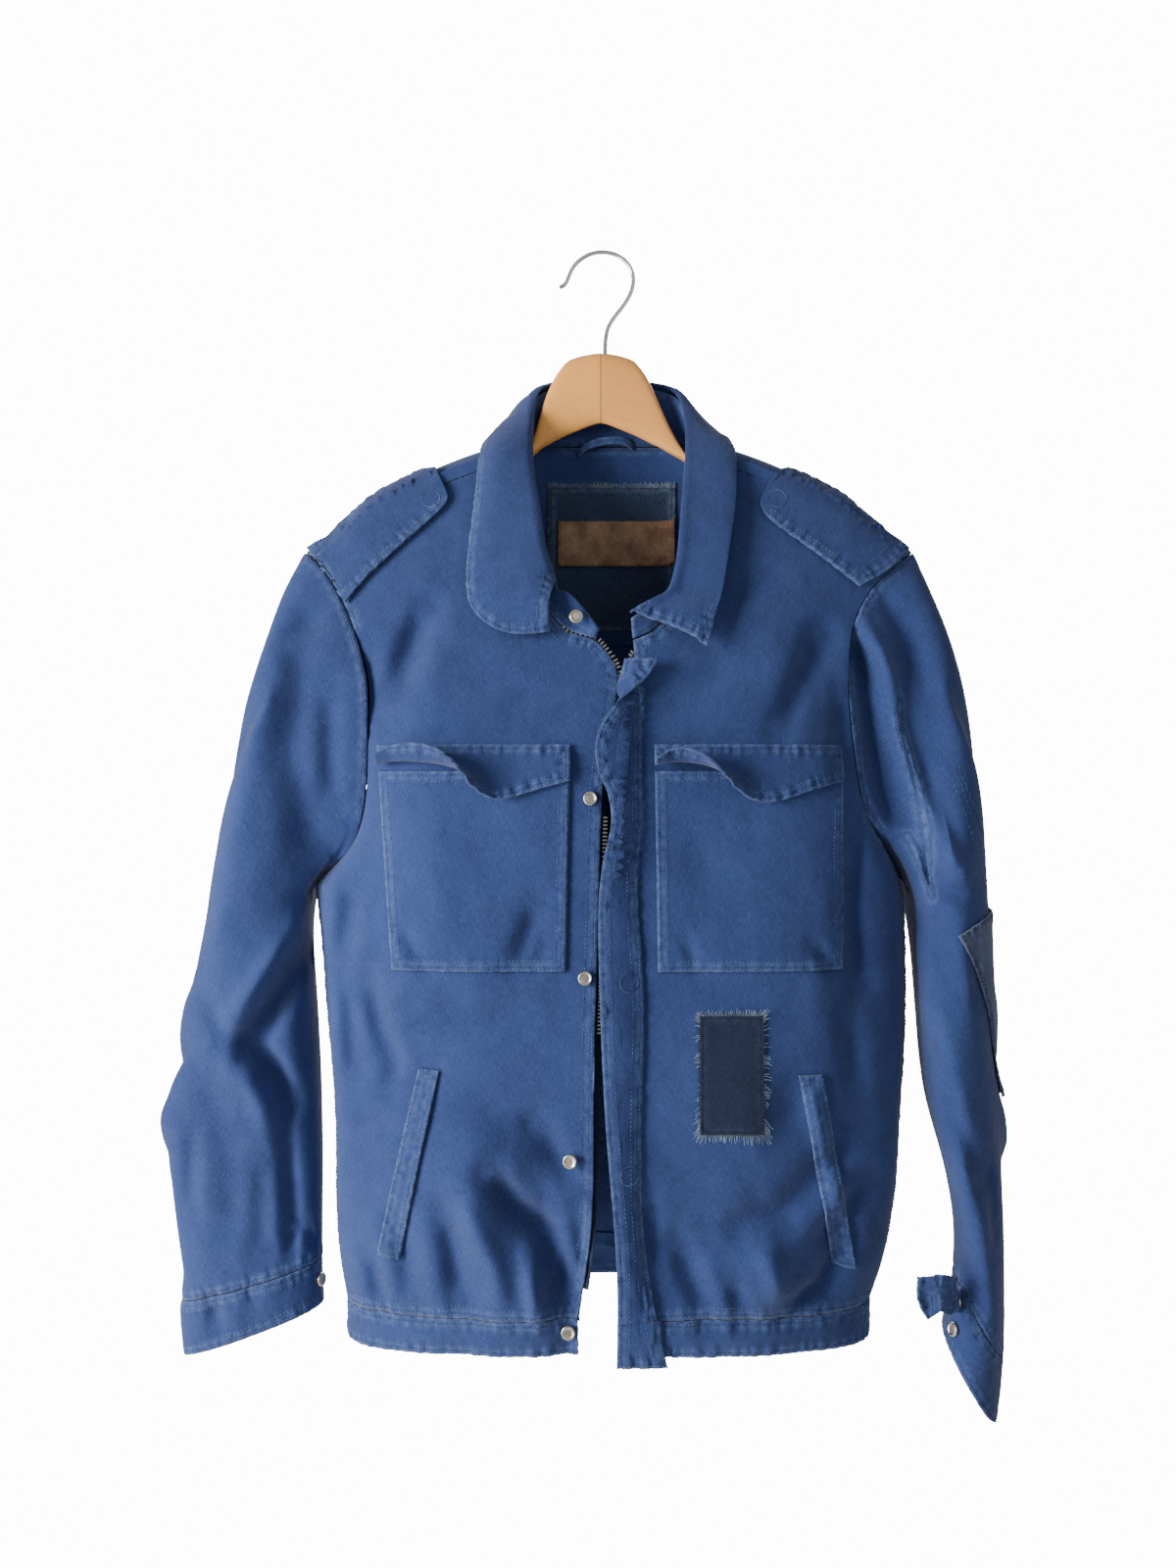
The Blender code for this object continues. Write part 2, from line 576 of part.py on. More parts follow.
SLEEVE_FOLDS = {
    LEFT: ((-0.262, -0.610, -0.228, -0.535, 0.011, 0.010), (-0.262, -0.615, -0.232, -0.660, 0.011, 0.009),
           (-0.236, -0.670, -0.236, -0.770, 0.010, 0.005), (-0.205, -0.330, -0.245, -0.400, 0.014, 0.004),
           (-0.235, -0.480, -0.285, -0.560, 0.020, 0.005), (-0.245, -0.765, -0.300, -0.745, 0.010, 0.004)),
    RIGHT: ((0.205, -0.310, 0.222, -0.400, 0.013, 0.018), (0.222, -0.400, 0.238, -0.470, 0.012, 0.016),
            (0.262, -0.420, 0.275, -0.480, 0.012, 0.005), (0.265, -0.650, 0.270, -0.720, 0.010, 0.004)),
}


def armhole_loop(side):
    """The armhole from the armpit up the front, over the shoulder and down the back."""
    end = 0 if side == LEFT else -1
    far = -1 if side == LEFT else 0
    arm_rows = range(LOW_ROWS.index(ARMPIT_Z) + 1, len(FRONTS[side]))
    front = [FRONTS[side][r][end] for r in arm_rows]
    yoke = [row[far] for row in YOKE[-2::-1]]
    back_rows = range(len(BACK) - 2, LOW_ROWS.index(ARMPIT_Z) + 1, -1)
    back = [BACK[r][far] for r in back_rows]
    loop = [Vector(p) for p in front + yoke + back]
    loop[0].y = SIDE_Y
    return loop


ARM_COLUMNS = len(armhole_loop(RIGHT))
ARM_TOP = 14.0      # column of the loop that lies on the shoulder ridge


def ring_turn(column):
    if column <= ARM_TOP:
        return math.pi * column / ARM_TOP
    return math.pi + math.pi * (column - ARM_TOP) / (ARM_COLUMNS - ARM_TOP)


def edge_half(side, z, front):
    """Half width of the body's edge at a height."""
    if front:
        edge = [row[0 if side == LEFT else -1] for row in FRONTS[side]]
    else:
        edge = [row[-1 if side == LEFT else 0] for row in BACK]
    if z > edge[-1].z:
        return side * edge[-1].x
    for a, b in zip(edge, edge[1:]):
        if a.z <= z <= b.z:
            return side * mix(a.x, b.x, (z - a.z) / (b.z - a.z))
    return side * edge[0].x


def ring(side, data, loop, blend):
    x1, z1, x0, z0, depth, skew = data
    first = SLEEVE_RINGS[side][0]
    points = []
    for column in range(ARM_COLUMNS):
        turn = ring_turn(column)
        share = (1 - math.cos(turn)) / 2
        base = Vector((side * mix(x0, x1, share), SLEEVE_Y, mix(z0, z1, share)))
        start = Vector((side * mix(first[2], first[0], share), SLEEVE_Y, mix(first[3], first[1], share)))
        bulge = math.copysign(abs(math.sin(turn)) ** 0.85, math.sin(turn))
        oval = Vector((side * skew * -bulge * depth, -bulge * depth, 0))
        point = base + (loop[column] - start).lerp(oval, blend)
        if math.sin(turn) > 0 and blend > 0:
            point.y += fold_depth(SLEEVE_FOLDS[side], point.x, point.z) * math.sin(turn)
        clear = edge_half(side, point.z, math.sin(turn) >= 0) + 0.0040
        if abs(point.x) < clear:
            point.x = side * clear
        points.append(point)
    return points


def sleeve_grid(side):
    loop = armhole_loop(side)
    rings = []
    for i, data in enumerate(SLEEVE_RINGS[side]):
        points = ring(side, data, loop, BLEND[min(i, len(BLEND) - 1)])
        if i == 0:
            points = [p + Vector((side * SEAM_GAP * 1.4, 0, 0)) for p in loop]
        rings.append(points)
    return rings if side == LEFT else rings[::-1]


def cuff_grid(side):
    loop = armhole_loop(side)
    rings = [ring(side, data, loop, 1.0) for data in CUFF_RINGS[side]]
    return rings if side == LEFT else rings[::-1]


SLEEVES = {side: sleeve_grid(side) for side in (LEFT, RIGHT)}
CUFFS = {side: cuff_grid(side) for side in (LEFT, RIGHT)}


def build_sleeves():
    for side, which in ((LEFT, "right"), (RIGHT, "left")):
        sleeve = SLEEVES[side]
        normals = vertex_normals(sleeve, closed=True)
        seam = 0 if side == LEFT else -1
        normals[seam] = [Vector((0, n.y, n.z)).normalized() for n in normals[seam]]
        inner = [[p - n * TWILL for p, n in zip(row, line)] for row, line in zip(sleeve, normals)]
        wall("sleeve_" + which, sleeve, inner, "twill", closed=True)
        cuff = CUFFS[side]
        wall("cuff_" + which, cuff, inner_grid(cuff, DOUBLE, closed=True), "twill", closed=True)
    # The elbow patch wraps the outer side of the sleeve on the viewer's right.
    places = []
    for row, first in ((5.0, 12.4), (6.0, 11.2), (7.0, 9.6), (7.6, 8.3), (8.1, 7.0)):
        cuts = [mix(first, 13.0, share) for share in (0.0, 0.17, 0.33, 0.5, 0.67, 0.83, 1.0)]
        places.append([(row, col) for col in cuts + [14.0, 15.0, 16.0, 17.0, 18.0, 19.0]])
    outer, inner = laid_on(SLEEVES[RIGHT], places, 0.0014, 0.0012)
    wall("elbow_patch", outer, inner, "slate")


# Collar. Each column holds a neckline place, the roll line and the leaf's outer edge. The neckline
# place is x on the front, or on the yoke where the last value is True.
STAND_ENDS = {
    LEFT: ((-0.0110, (-0.0090, -0.0880, -0.3050)), (-0.0200, (-0.0205, -0.0840, -0.2880)),
           (-0.0300, (-0.0310, -0.0810, -0.2760))),
    RIGHT: (),
}
COLLAR = {
    LEFT: ((-0.0380, (-0.0388, -0.0800, -0.2685), (-0.0429, -0.0900, -0.3067), False),
           (-0.0440, (-0.0432, -0.0780, -0.2557), (-0.0598, -0.0910, -0.3095), False),
           (-0.0500, (-0.0470, -0.0740, -0.2440), (-0.0783, -0.0895, -0.3079), False),
           (-0.0560, (-0.0492, -0.0700, -0.2330), (-0.0942, -0.0870, -0.2982), False),
           (-0.0610, (-0.0508, -0.0650, -0.2197), (-0.1038, -0.0820, -0.2863), False),
           (-0.0660, (-0.0532, -0.0580, -0.2031), (-0.1059, -0.0760, -0.2660), False),
           (-0.0710, (-0.0570, -0.0490, -0.1836), (-0.1045, -0.0680, -0.2420), False),
           (-0.0770, (-0.0580, -0.0380, -0.1640), (-0.1018, -0.0560, -0.2131), False),
           (-0.0820, (-0.0577, -0.0260, -0.1430), (-0.1003, -0.0440, -0.1860), False),
           (-0.0790, (-0.0574, -0.0140, -0.1230), (-0.0990, -0.0210, -0.1510), True),
           (-0.0700, (-0.0566, -0.0040, -0.1080), (-0.0960, 0.0060, -0.1500), True),
           (-0.0560, (-0.0500, 0.0050, -0.1000), (-0.0780, 0.0210, -0.1560), True),
           (-0.0350, (-0.0330, 0.0070, -0.0970), (-0.0470, 0.0250, -0.1600), True)),
    RIGHT: ((0.0170, (0.0152, -0.0880, -0.2909), (0.0701, -0.0930, -0.3175), False),
            (0.0250, (0.0223, -0.0870, -0.2858), (0.0741, -0.0890, -0.3034), False),
            (0.0330, (0.0323, -0.0850, -0.2806), (0.0782, -0.0840, -0.2885), False),
            (0.0430, (0.0431, -0.0820, -0.2753), (0.0823, -0.0790, -0.2757), False),
            (0.0520, (0.0484, -0.0770, -0.2595), (0.0858, -0.0740, -0.2582), False),
            (0.0600, (0.0509, -0.0700, -0.2407), (0.0895, -0.0660, -0.2366), False),
            (0.0670, (0.0530, -0.0620, -0.2174), (0.0940, -0.0560, -0.2131), False),
            (0.0740, (0.0553, -0.0480, -0.1892), (0.0967, -0.0440, -0.1840), False),
            (0.0820, (0.0585, -0.0340, -0.1600), (0.0975, -0.0290, -0.1595), False),
            (0.0790, (0.0592, -0.0160, -0.1300), (0.0950, -0.0090, -0.1480), True),
            (0.0700, (0.0568, -0.0040, -0.1120), (0.0900, 0.0080, -0.1500), True),
            (0.0560, (0.0500, 0.0050, -0.1020), (0.0780, 0.0210, -0.1560), True),
            (0.0350, (0.0330, 0.0070, -0.0980), (0.0470, 0.0250, -0.1600), True)),
}
COLLAR_BACK = (0.0, (0.0, 0.0075, -0.0960), (0.0, 0.0260, -0.1620), True)
STAND_SHARES = (0.0, 0.35, 0.7, 1.0)
LEAF_SHARES = (0.0, 0.25, 0.5, 0.75, 1.0)


def neck_point(side, x, on_yoke):
    """A place on the neckline rim of the front or the yoke."""
    row = YOKE[-1] if on_yoke else FRONTS[side][-1]
    points = sorted(row, key=lambda p: p.x)
    for a, b in zip(points, points[1:]):
        if a.x <= x <= b.x:
            return a.lerp(b, (x - a.x) / (b.x - a.x))
    return points[0] if x < points[0].x else points[-1]


def collar_columns():
    left = [(x, roll, edge, yoke, LEFT) for x, roll, edge, yoke in COLLAR[LEFT]]
    right = [(x, roll, edge, yoke, RIGHT) for x, roll, edge, yoke in COLLAR[RIGHT][::-1]]
    return left + [(*COLLAR_BACK, LEFT)] + right


def build_collar():
    stand, leaf = [], []
    for x, top in STAND_ENDS[LEFT]:
        neck, top = neck_point(LEFT, x, False), Vector(top)
        rise = (top - neck).normalized()
        low, high = neck + rise * SEAM_GAP * 2, top
        stand.append([low.lerp(high, share) for share in STAND_SHARES])
    for x, roll, edge, on_yoke, side in collar_columns():
        neck, roll, edge = neck_point(side, x, on_yoke), Vector(roll), Vector(edge)
        rise = (roll - neck).normalized()
        fall = edge - roll
        out = (fall - rise * fall.dot(rise)).normalized()
        low, high = neck + rise * SEAM_GAP * 2, roll - rise * 0.0066
        stand.append([low.lerp(high, share) for share in STAND_SHARES])
        turned = roll - rise * 0.0040 + out * 0.0072
        column = [roll - rise * 0.0012 - out * 0.0012, roll + out * 0.0012,
                  roll - rise * 0.0010 + out * 0.0048]
        for share in LEAF_SHARES:
            bow = out * (0.002 if on_yoke else 0.008) * math.sin(math.pi * share)
            column.append(turned.lerp(edge, share) + bow)
        leaf.append(column)
    # Both run from the viewer's left to the right, seen from outside: turn them to face outwards.
    stand_rows = [[column[r] for column in stand[::-1]] for r in range(len(STAND_SHARES))]
    inner = inner_grid(stand_rows, DOUBLE)
    wall("collar_stand", stand_rows, inner, "twill")
    leaf_rows = [[column[r] for column in leaf] for r in range(len(leaf[0]))]
    wall("collar_leaf", leaf_rows, inner_grid(leaf_rows, DOUBLE), "twill")


# Chest pockets, flaps, welts, patches and front strips

POCKETS = {LEFT: ((-0.1560, -0.1690), (-0.0318, -0.0286)), RIGHT: ((0.0334, 0.0316), (0.1665, 0.1690))}
POCKET_COLUMNS = STRAIGHT_COLUMNS[1:8]
POCKET_LOW, POCKET_HIGH, FLAP_SEAM = -0.5500, -0.4080, -0.3890
POCKET_GAP = 0.0006
FLAP_GAP = 0.0007
OVER_POCKET = 0.0032        # the flap's inner face stays this far in front of the jacket's front
FLAP_LENGTHS = ((0.0, 0.034), (0.2, 0.036), (0.58, 0.043), (0.8, 0.034), (1.0, 0.026))
FLAP_CURLS = {LEFT: ((0.0, 2.2), (0.15, 2.9), (0.35, 2.5), (0.52, 0.9), (0.65, 0.1), (1.0, 0.0)),
              RIGHT: ((0.0, 1.9), (0.12, 2.6), (0.25, 2.2), (0.42, 0.7), (0.55, 0.1), (1.0, 0.0))}


def build_pocket(side, which):
    grid = FRONTS[side]
    (low_a, high_a), (low_b, high_b) = POCKETS[side]
    levels = [POCKET_LOW] + [z for z in LOW_ROWS if POCKET_LOW < z < POCKET_HIGH] + [POCKET_HIGH]
    places = []
    for z in levels:
        share = (z - POCKET_LOW) / (FLAP_SEAM - POCKET_LOW)
        a, b = mix(low_a, high_a, share), mix(low_b, high_b, share)
        row, first = locate(grid, a, z)
        last = locate(grid, b, z)[1]
        shared = [locate(grid, side * half, z)[1] for half in POCKET_COLUMNS[::side]]
        places.append([(row, c) for c in [first] + shared + [last]])
    outer, inner = laid_on(grid, places, POCKET_GAP, TWILL)
    wall("pocket_" + which, outer, inner, "twill")

    under = []
    columns = 11
    for i in range(columns):
        u = i / (columns - 1)
        x = mix(high_a, high_b, u)
        row, col = locate(grid, x, FLAP_SEAM)
        start = on_facets(grid, row, col)
        length, curl = along(FLAP_LENGTHS, u), along(FLAP_CURLS[side], u)
        below = on_facets(grid, row - 1, col)
        lean = math.atan2(start.y - below.y, start.z - below.z)
        point = start + Vector((0, -FLAP_GAP, 0))
        column = [point]
        cuts = 7
        for k in range(1, cuts):
            turn = lean + 0.11 * (1 - ease(0.4, 0.8, k / cuts)) + curl * ease(0.15, 1.0, k / (cuts - 1))
            reach = length / (cuts - 1)
            point = point + Vector((0, -math.sin(turn) * reach, -math.cos(turn) * reach))
            clear = 0.0009 if k == 1 else OVER_POCKET
            point.y = min(point.y, surface_y(side, point.x, point.z) - clear)
            column.append(point)
        under.append(column)
    rows = [[under[i][k] for i in range(columns)] for k in range(cuts - 1, -1, -1)]
    normals = vertex_normals(rows)
    upper = [[p + n * TWILL for p, n in zip(row, line)] for row, line in zip(rows, normals)]
    wall("pocket_flap_" + which, upper, rows, "twill")


WELTS = {LEFT: ((-0.1363, -0.6200, -0.1215, -0.6212), (-0.1660, -0.7530, -0.1500, -0.7560)),
         RIGHT: ((0.1330, -0.6239, 0.1500, -0.6235), (0.1590, -0.7618, 0.1755, -0.7649))}
WELT_GAP = 0.0010
PATCH_CLOTH = 0.0011


def build_welt(side, which):
    (ax, az, bx, bz), (cx, cz, dx, dz) = WELTS[side]
    places = []
    for v in steps(0, 1, 13):
        line = []
        for u in (0.0, 0.5, 1.0):
            x = mix(mix(cx, dx, u), mix(ax, bx, u), v)
            z = mix(mix(cz, dz, u), mix(az, bz, u), v)
            line.append(locate(FRONTS[side], x, z))
        places.append(line)
    outer, inner = laid_on(FRONTS[side], places, WELT_GAP, TWILL)
    wall("welt_" + which, outer, inner, "twill")


def build_front_patch():
    grid = FRONTS[RIGHT]
    places = []
    for z in (-0.6645, -0.6300, -0.5930, -0.5795):
        line = [locate(grid, x, z) for x in (0.0615, 0.1090)]
        between = [(line[0][0], float(c)) for c in range(1, len(grid[0])) if line[0][1] < c < line[1][1]]
        places.append([line[0]] + between + [line[1]])
    outer, inner = laid_on(grid, places, LAID_GAP, PATCH_CLOTH)
    wall("front_patch", outer, inner, "denim")


# Fly placket: height, free edge and its lift off the front. The seam edge stays on the front.
PLACKET = ((-0.8255, 0.0040, 0.0040), (-0.800, 0.0045, 0.0050), (-0.753, 0.0045, 0.0070),
           (-0.710, 0.0010, 0.0085), (-0.665, -0.0031, 0.0090), (-0.625, -0.0055, 0.0080),
           (-0.586, -0.0071, 0.0075), (-0.545, -0.0085, 0.0070), (-0.5034, -0.0091, 0.0080),
           (-0.480, -0.0070, 0.0095), (-0.4618, -0.0036, 0.0105), (-0.4446, 0.0019, 0.0110),
           (-0.4212, -0.0014, 0.0110), (-0.4060, -0.0105, 0.0100), (-0.3870, -0.0118, 0.0100),
           (-0.3720, -0.0060, 0.0110), (-0.3590, 0.0040, 0.0130), (-0.3480, 0.0190, 0.0150),
           (-0.3370, 0.0300, 0.0140), (-0.3270, 0.0345, 0.0110))
PLACKET_SEAM = ((-0.8255, 0.0400), (-0.7641, 0.0262), (-0.7073, 0.0210), (-0.6388, 0.0215),
                (-0.5707, 0.0245), (-0.5080, 0.0190), (-0.4766, 0.0190), (-0.4449, 0.0223),
                (-0.3917, 0.0225), (-0.3477, 0.0215), (-0.3270, 0.0200))


PLACKET_FLOOR_X = 0.020      # where the free edge overhangs the front, its depth is taken from here
BAND_FLOOR_Z = -0.817        # and below the hem band from here


def build_placket():
    rows = []
    for z, free, lift in PLACKET:
        seam = along(PLACKET_SEAM, z)
        line = []
        for u in (1.0, 0.75, 0.5, 0.25, 0.0):
            x = mix(seam, free, u)
            y = surface_y(RIGHT, max(x, PLACKET_FLOOR_X), max(z, BAND_FLOOR_Z))
            rise = (0.0016 if z < -0.78 else 0.0010) + lift * math.sin(math.pi / 2 * min(1.0, u * 1.1))
            line.append(Vector((x, y - rise - TWILL, z)))
        if free > seam - 0.005:
            fold = mix(seam, free, 0.5) - 0.016
            xs = (free, mix(free, fold, 0.5), fold, mix(fold, seam, 0.5), seam)
            for point, x, out in zip(line, xs, (0.0105, 0.0100, 0.0070, 0.0035, 0.0012)):
                point.x = x
                point.y = surface_y(RIGHT, max(x, PLACKET_FLOOR_X), z) - out - TWILL
        rows.append(line)
    wall("fly_placket", rows, inner_grid(rows, TWILL), "twill")


TAPE_GAP = 0.0012
TAPE_REACH = 0.0035          # it stands this far past the front edge
TAPE_CLOTH = 0.0008


def build_zip_tape(side, which):
    """A woven tape behind each front edge, standing out past it to carry the teeth."""
    grid = inner_grid(FRONTS[side], TWILL)
    edge, next_in = (-1, -2) if side == LEFT else (0, 1)
    rows = []
    for row in grid[1:-1]:
        inward = row[next_in] - row[edge]
        behind = Vector((0, TAPE_GAP, 0))
        start = row[edge] + inward * 0.55 + behind
        lip = row[edge] + behind
        out = lip - inward.normalized() * TAPE_REACH
        line = [start, lip, out]
        rows.append(line if side == LEFT else line[::-1])
    wall("zip_tape_" + which, rows, inner_grid(rows, TAPE_CLOTH), "zip_tape")


# Epaulettes: top and bottom edges as x and z, from the neck end to the armhole end
EPAULETTES = {
    LEFT: (((-0.1320, -0.1765), (-0.1432, -0.1752), (-0.1549, -0.1800), (-0.1760, -0.1925),
            (-0.1968, -0.2050), (-0.2150, -0.2180), (-0.2280, -0.2320)),
           ((-0.1215, -0.2000), (-0.1235, -0.2075), (-0.1390, -0.2230), (-0.1560, -0.2390),
            (-0.1720, -0.2545), (-0.1850, -0.2680), (-0.1960, -0.2780))),
    RIGHT: (((0.1220, -0.1870), (0.1348, -0.1752), (0.1534, -0.1800), (0.1770, -0.1925),
             (0.1999, -0.2040), (0.2160, -0.2170), (0.2290, -0.2320)),
            ((0.1135, -0.2050), (0.1180, -0.2165), (0.1330, -0.2290), (0.1490, -0.2410),
             (0.1650, -0.2530), (0.1770, -0.2625), (0.1860, -0.2690))),
}


EPAULETTE_LIFT = 0.0024      # clear of the shoulder seam that it crosses


def build_epaulette(side, which):
    top, bottom = EPAULETTES[side]
    pairs = list(zip(top, bottom))
    halfway = []
    for a, b in zip(pairs, pairs[1:]):
        halfway.append([tuple(mix(p, q, 0.5) for p, q in zip(a[end], b[end])) for end in (0, 1)])
    pairs = sorted(pairs + halfway, key=lambda pair: pair[0][0])
    rows = []
    for v in (0.0, 0.25, 0.5, 0.75, 0.92, 1.0):
        line = []
        for (x1, z1), (x0, z0) in pairs:
            x, z = mix(x0, x1, v), mix(z0, z1, v)
            z = min(z, ridge_z(abs(x)) - 0.0010)
            near = [surface_y(side, x - side * back, z) for back in steps(0.0, 0.030, 16)]
            y = next(depth for depth in near if depth is not None and depth < ridge_y(abs(x)) + 0.002)
            line.append(Vector((x, y, z)))
        rows.append(line)
    normals = vertex_normals(rows)
    inner, outer = [], []
    for row, line in zip(rows, normals):
        lifts = [EPAULETTE_LIFT + 0.0028 * ease(0.17, 0.23, abs(p.x)) for p in row]
        inner.append([p + n * lift for p, n, lift in zip(row, line, lifts)])
        outer.append([p + n * (lift + DOUBLE) for p, n, lift in zip(row, line, lifts)])
    wall("epaulette_" + which, outer, inner, "twill")


# Inside the neck: patch, label and hanging loop

def inside(places, gap, thickness):
    """Grids of a piece on the inner face of the yoke, facing the front."""
    grid = inner_grid(YOKE, TWILL)
    turned = [row[::-1] for row in grid]
    return laid_on(turned, places, gap, thickness)


def build_neck_inside():
    columns = len(YOKE[0])
    middle = columns // 2
    xs = [row.x for row in YOKE[0]][::-1]

    def col(x):
        c = bisect.bisect_right(xs, x) - 1
        return c + (x - xs[c]) / (xs[c + 1] - xs[c])

    cols = [col(-0.0487), middle - 1.0, float(middle), middle + 1.0, middle + 2.0, col(0.0541)]
    rows = (0.1, 1.0, 2.0, 3.0, 4.0, 5.0, 6.0, 6.45)
    outer, inner = inside([[(r, c) for c in cols] for r in rows], LAID_GAP, PATCH_CLOTH)
    wall("inside_patch", outer, inner, "denim")
    cols = [col(-0.0400), middle - 1.0, float(middle), middle + 1.0, middle + 2.0, col(0.0530)]
    outer, inner = inside([[(r, c) for c in cols] for r in (3.0, 4.0, 4.9)], 0.0020, 0.0015)
    wall("leather_label", outer, inner, "leather")
    path = ((-0.0240, 0.0080, -0.1585), (-0.0180, 0.0050, -0.1530), (-0.0080, 0.0030, -0.1500),
            (0.0040, 0.0028, -0.1485), (0.0140, 0.0040, -0.1490), (0.0200, 0.0080, -0.1530))
    outer = [[Vector((x, y, z)) for x, y, z in path], [Vector((x, y, z + 0.006)) for x, y, z in path]]
    wall("hanger_loop", outer, inner_grid(outer, 0.0012), "twill")


# Snaps and the cuff tab

def snap(name, centre, normal, radius=0.0052, height=0.0022, gap=0.0005):
    """A pressed metal snap cap with a rounded rim, standing on the cloth."""
    normal = normal.normalized()
    across = normal.cross(Vector((0, 0, 1))).normalized()
    up = across.cross(normal)
    sides = 14
    verts = []
    for level, size in ((0.0, 1.0), (0.55, 1.0), (0.85, 0.86), (1.0, 0.60)):
        for k in range(sides):
            turn = 2 * math.pi * k / sides
            spoke = across * math.cos(turn) + up * math.sin(turn)
            verts.append(centre + normal * (gap + height * level) + spoke * radius * size)
    faces = [tuple(range(sides - 1, -1, -1)), tuple(range(3 * sides, 4 * sides))]
    for r in range(3):
        for k in range(sides):
            a, b = r * sides + k, r * sides + (k + 1) % sides
            faces.append((a, b, b + sides, a + sides))
    flip = across.cross(up).dot(normal) < 0
    new_object(name, verts, [f[::-1] for f in faces] if flip else faces, "metal")


FRONT_SNAPS = ((-0.0145, -0.4274), (-0.0180, -0.5542), (-0.0285, -0.6818))


def build_snaps():
    grid = FRONTS[LEFT]
    normals = vertex_normals(grid)
    for i, (x, z) in enumerate(FRONT_SNAPS, 1):
        row, col = locate(grid, x, z)
        snap("front_snap_%d" % i, on_facets(grid, row, col), on_facets(normals, row, col), gap=0.0008)
    centre = Vector((-0.0300, surface_y(LEFT, -0.030, -0.8000) - 0.0016, -0.8030))
    snap("front_snap_4", centre, Vector((0, -1, 0)))
    snap("collar_snap", Vector((-0.0252, -0.0865, -0.2963)), Vector((0.25, -1, 0.15)), gap=0.0016)
    for name, side, row, col in (("cuff_snap_right", LEFT, 0.9, 0.9), ("cuff_snap_left_1", RIGHT, 1.5, 3.2),
                                 ("cuff_snap_left_2", RIGHT, 0.7, 3.4)):
        grid = CUFFS[side]
        normals = vertex_normals(grid, closed=True)
        snap(name, on_facets(grid, row, col), on_facets(normals, row, col), gap=0.0007)


def build_cuff_tab():
    """The loose end of the left cuff, sprung open past its two snaps."""
    path = ((0.2530, -0.0830), (0.2460, -0.0900), (0.2380, -0.0950), (0.2290, -0.0930), (0.2215, -0.0960))
    lows = (-0.8000, -0.8020, -0.7960, -0.8030, -0.7900)
    highs = (-0.7760, -0.7730, -0.7700, -0.7730, -0.7720)
    outer = []
    for v in (0.0, 0.5, 1.0):
        outer.append([Vector((x, y + 0.003 * math.sin(v * 3), mix(low, high, v)))
                      for (x, y), low, high in zip(path, lows, highs)][::-1])
    wall("cuff_tab_left", outer, inner_grid(outer, DOUBLE), "twill")


# Hanger: two wooden arms with a wire hook. Heights are on the hook's own middle line.
ARM_TOP_LINE = ((0.000, -0.0800), (0.015, -0.0820), (0.030, -0.0880), (0.042, -0.1100),
                (0.052, -0.1340), (0.058, -0.1460), (0.064, -0.1560), (0.074, -0.1710),
                (0.092, -0.1725))
ARM_BOTTOM_LINE = ((0.000, -0.1340), (0.030, -0.1460), (0.052, -0.1580), (0.068, -0.1660),
                   (0.080, -0.1740), (0.092, -0.1800))
ARM_STATIONS = (0.0, 0.010, 0.022, 0.030, 0.037, 0.044, 0.052, 0.062, 0.074, 0.092, 0.120, 0.150,
                0.180, 0.205, 0.217, 0.222)
ARM_THICKNESS = 0.011
ARM_CLEAR = 0.0058       # the wood lies this far under the outer face of the shoulder ridge
HOOK_WIRE = 0.00165
HOOK_PATH = ((0.0036, -0.0060, -0.0785), (0.0030, -0.0040, -0.0640), (0.0075, -0.0020, -0.0540),
             (0.0160, -0.0010, -0.0440), (0.0240, 0.0, -0.0320), (0.0265, 0.0, -0.0220),
             (0.0250, 0.0, -0.0130), (0.0205, 0.0, -0.0060), (0.0130, 0.0, -0.0005),
             (0.0040, 0.0, 0.00165), (-0.0040, 0.0, 0.00120), (-0.0110, 0.0, -0.0010),
             (-0.0190, 0.0, -0.0065), (-0.0240, 0.0, -0.0140), (-0.0255, 0.0, -0.0215),
             (-0.0290, 0.0, -0.0255), (-0.0325, 0.0, -0.0265))


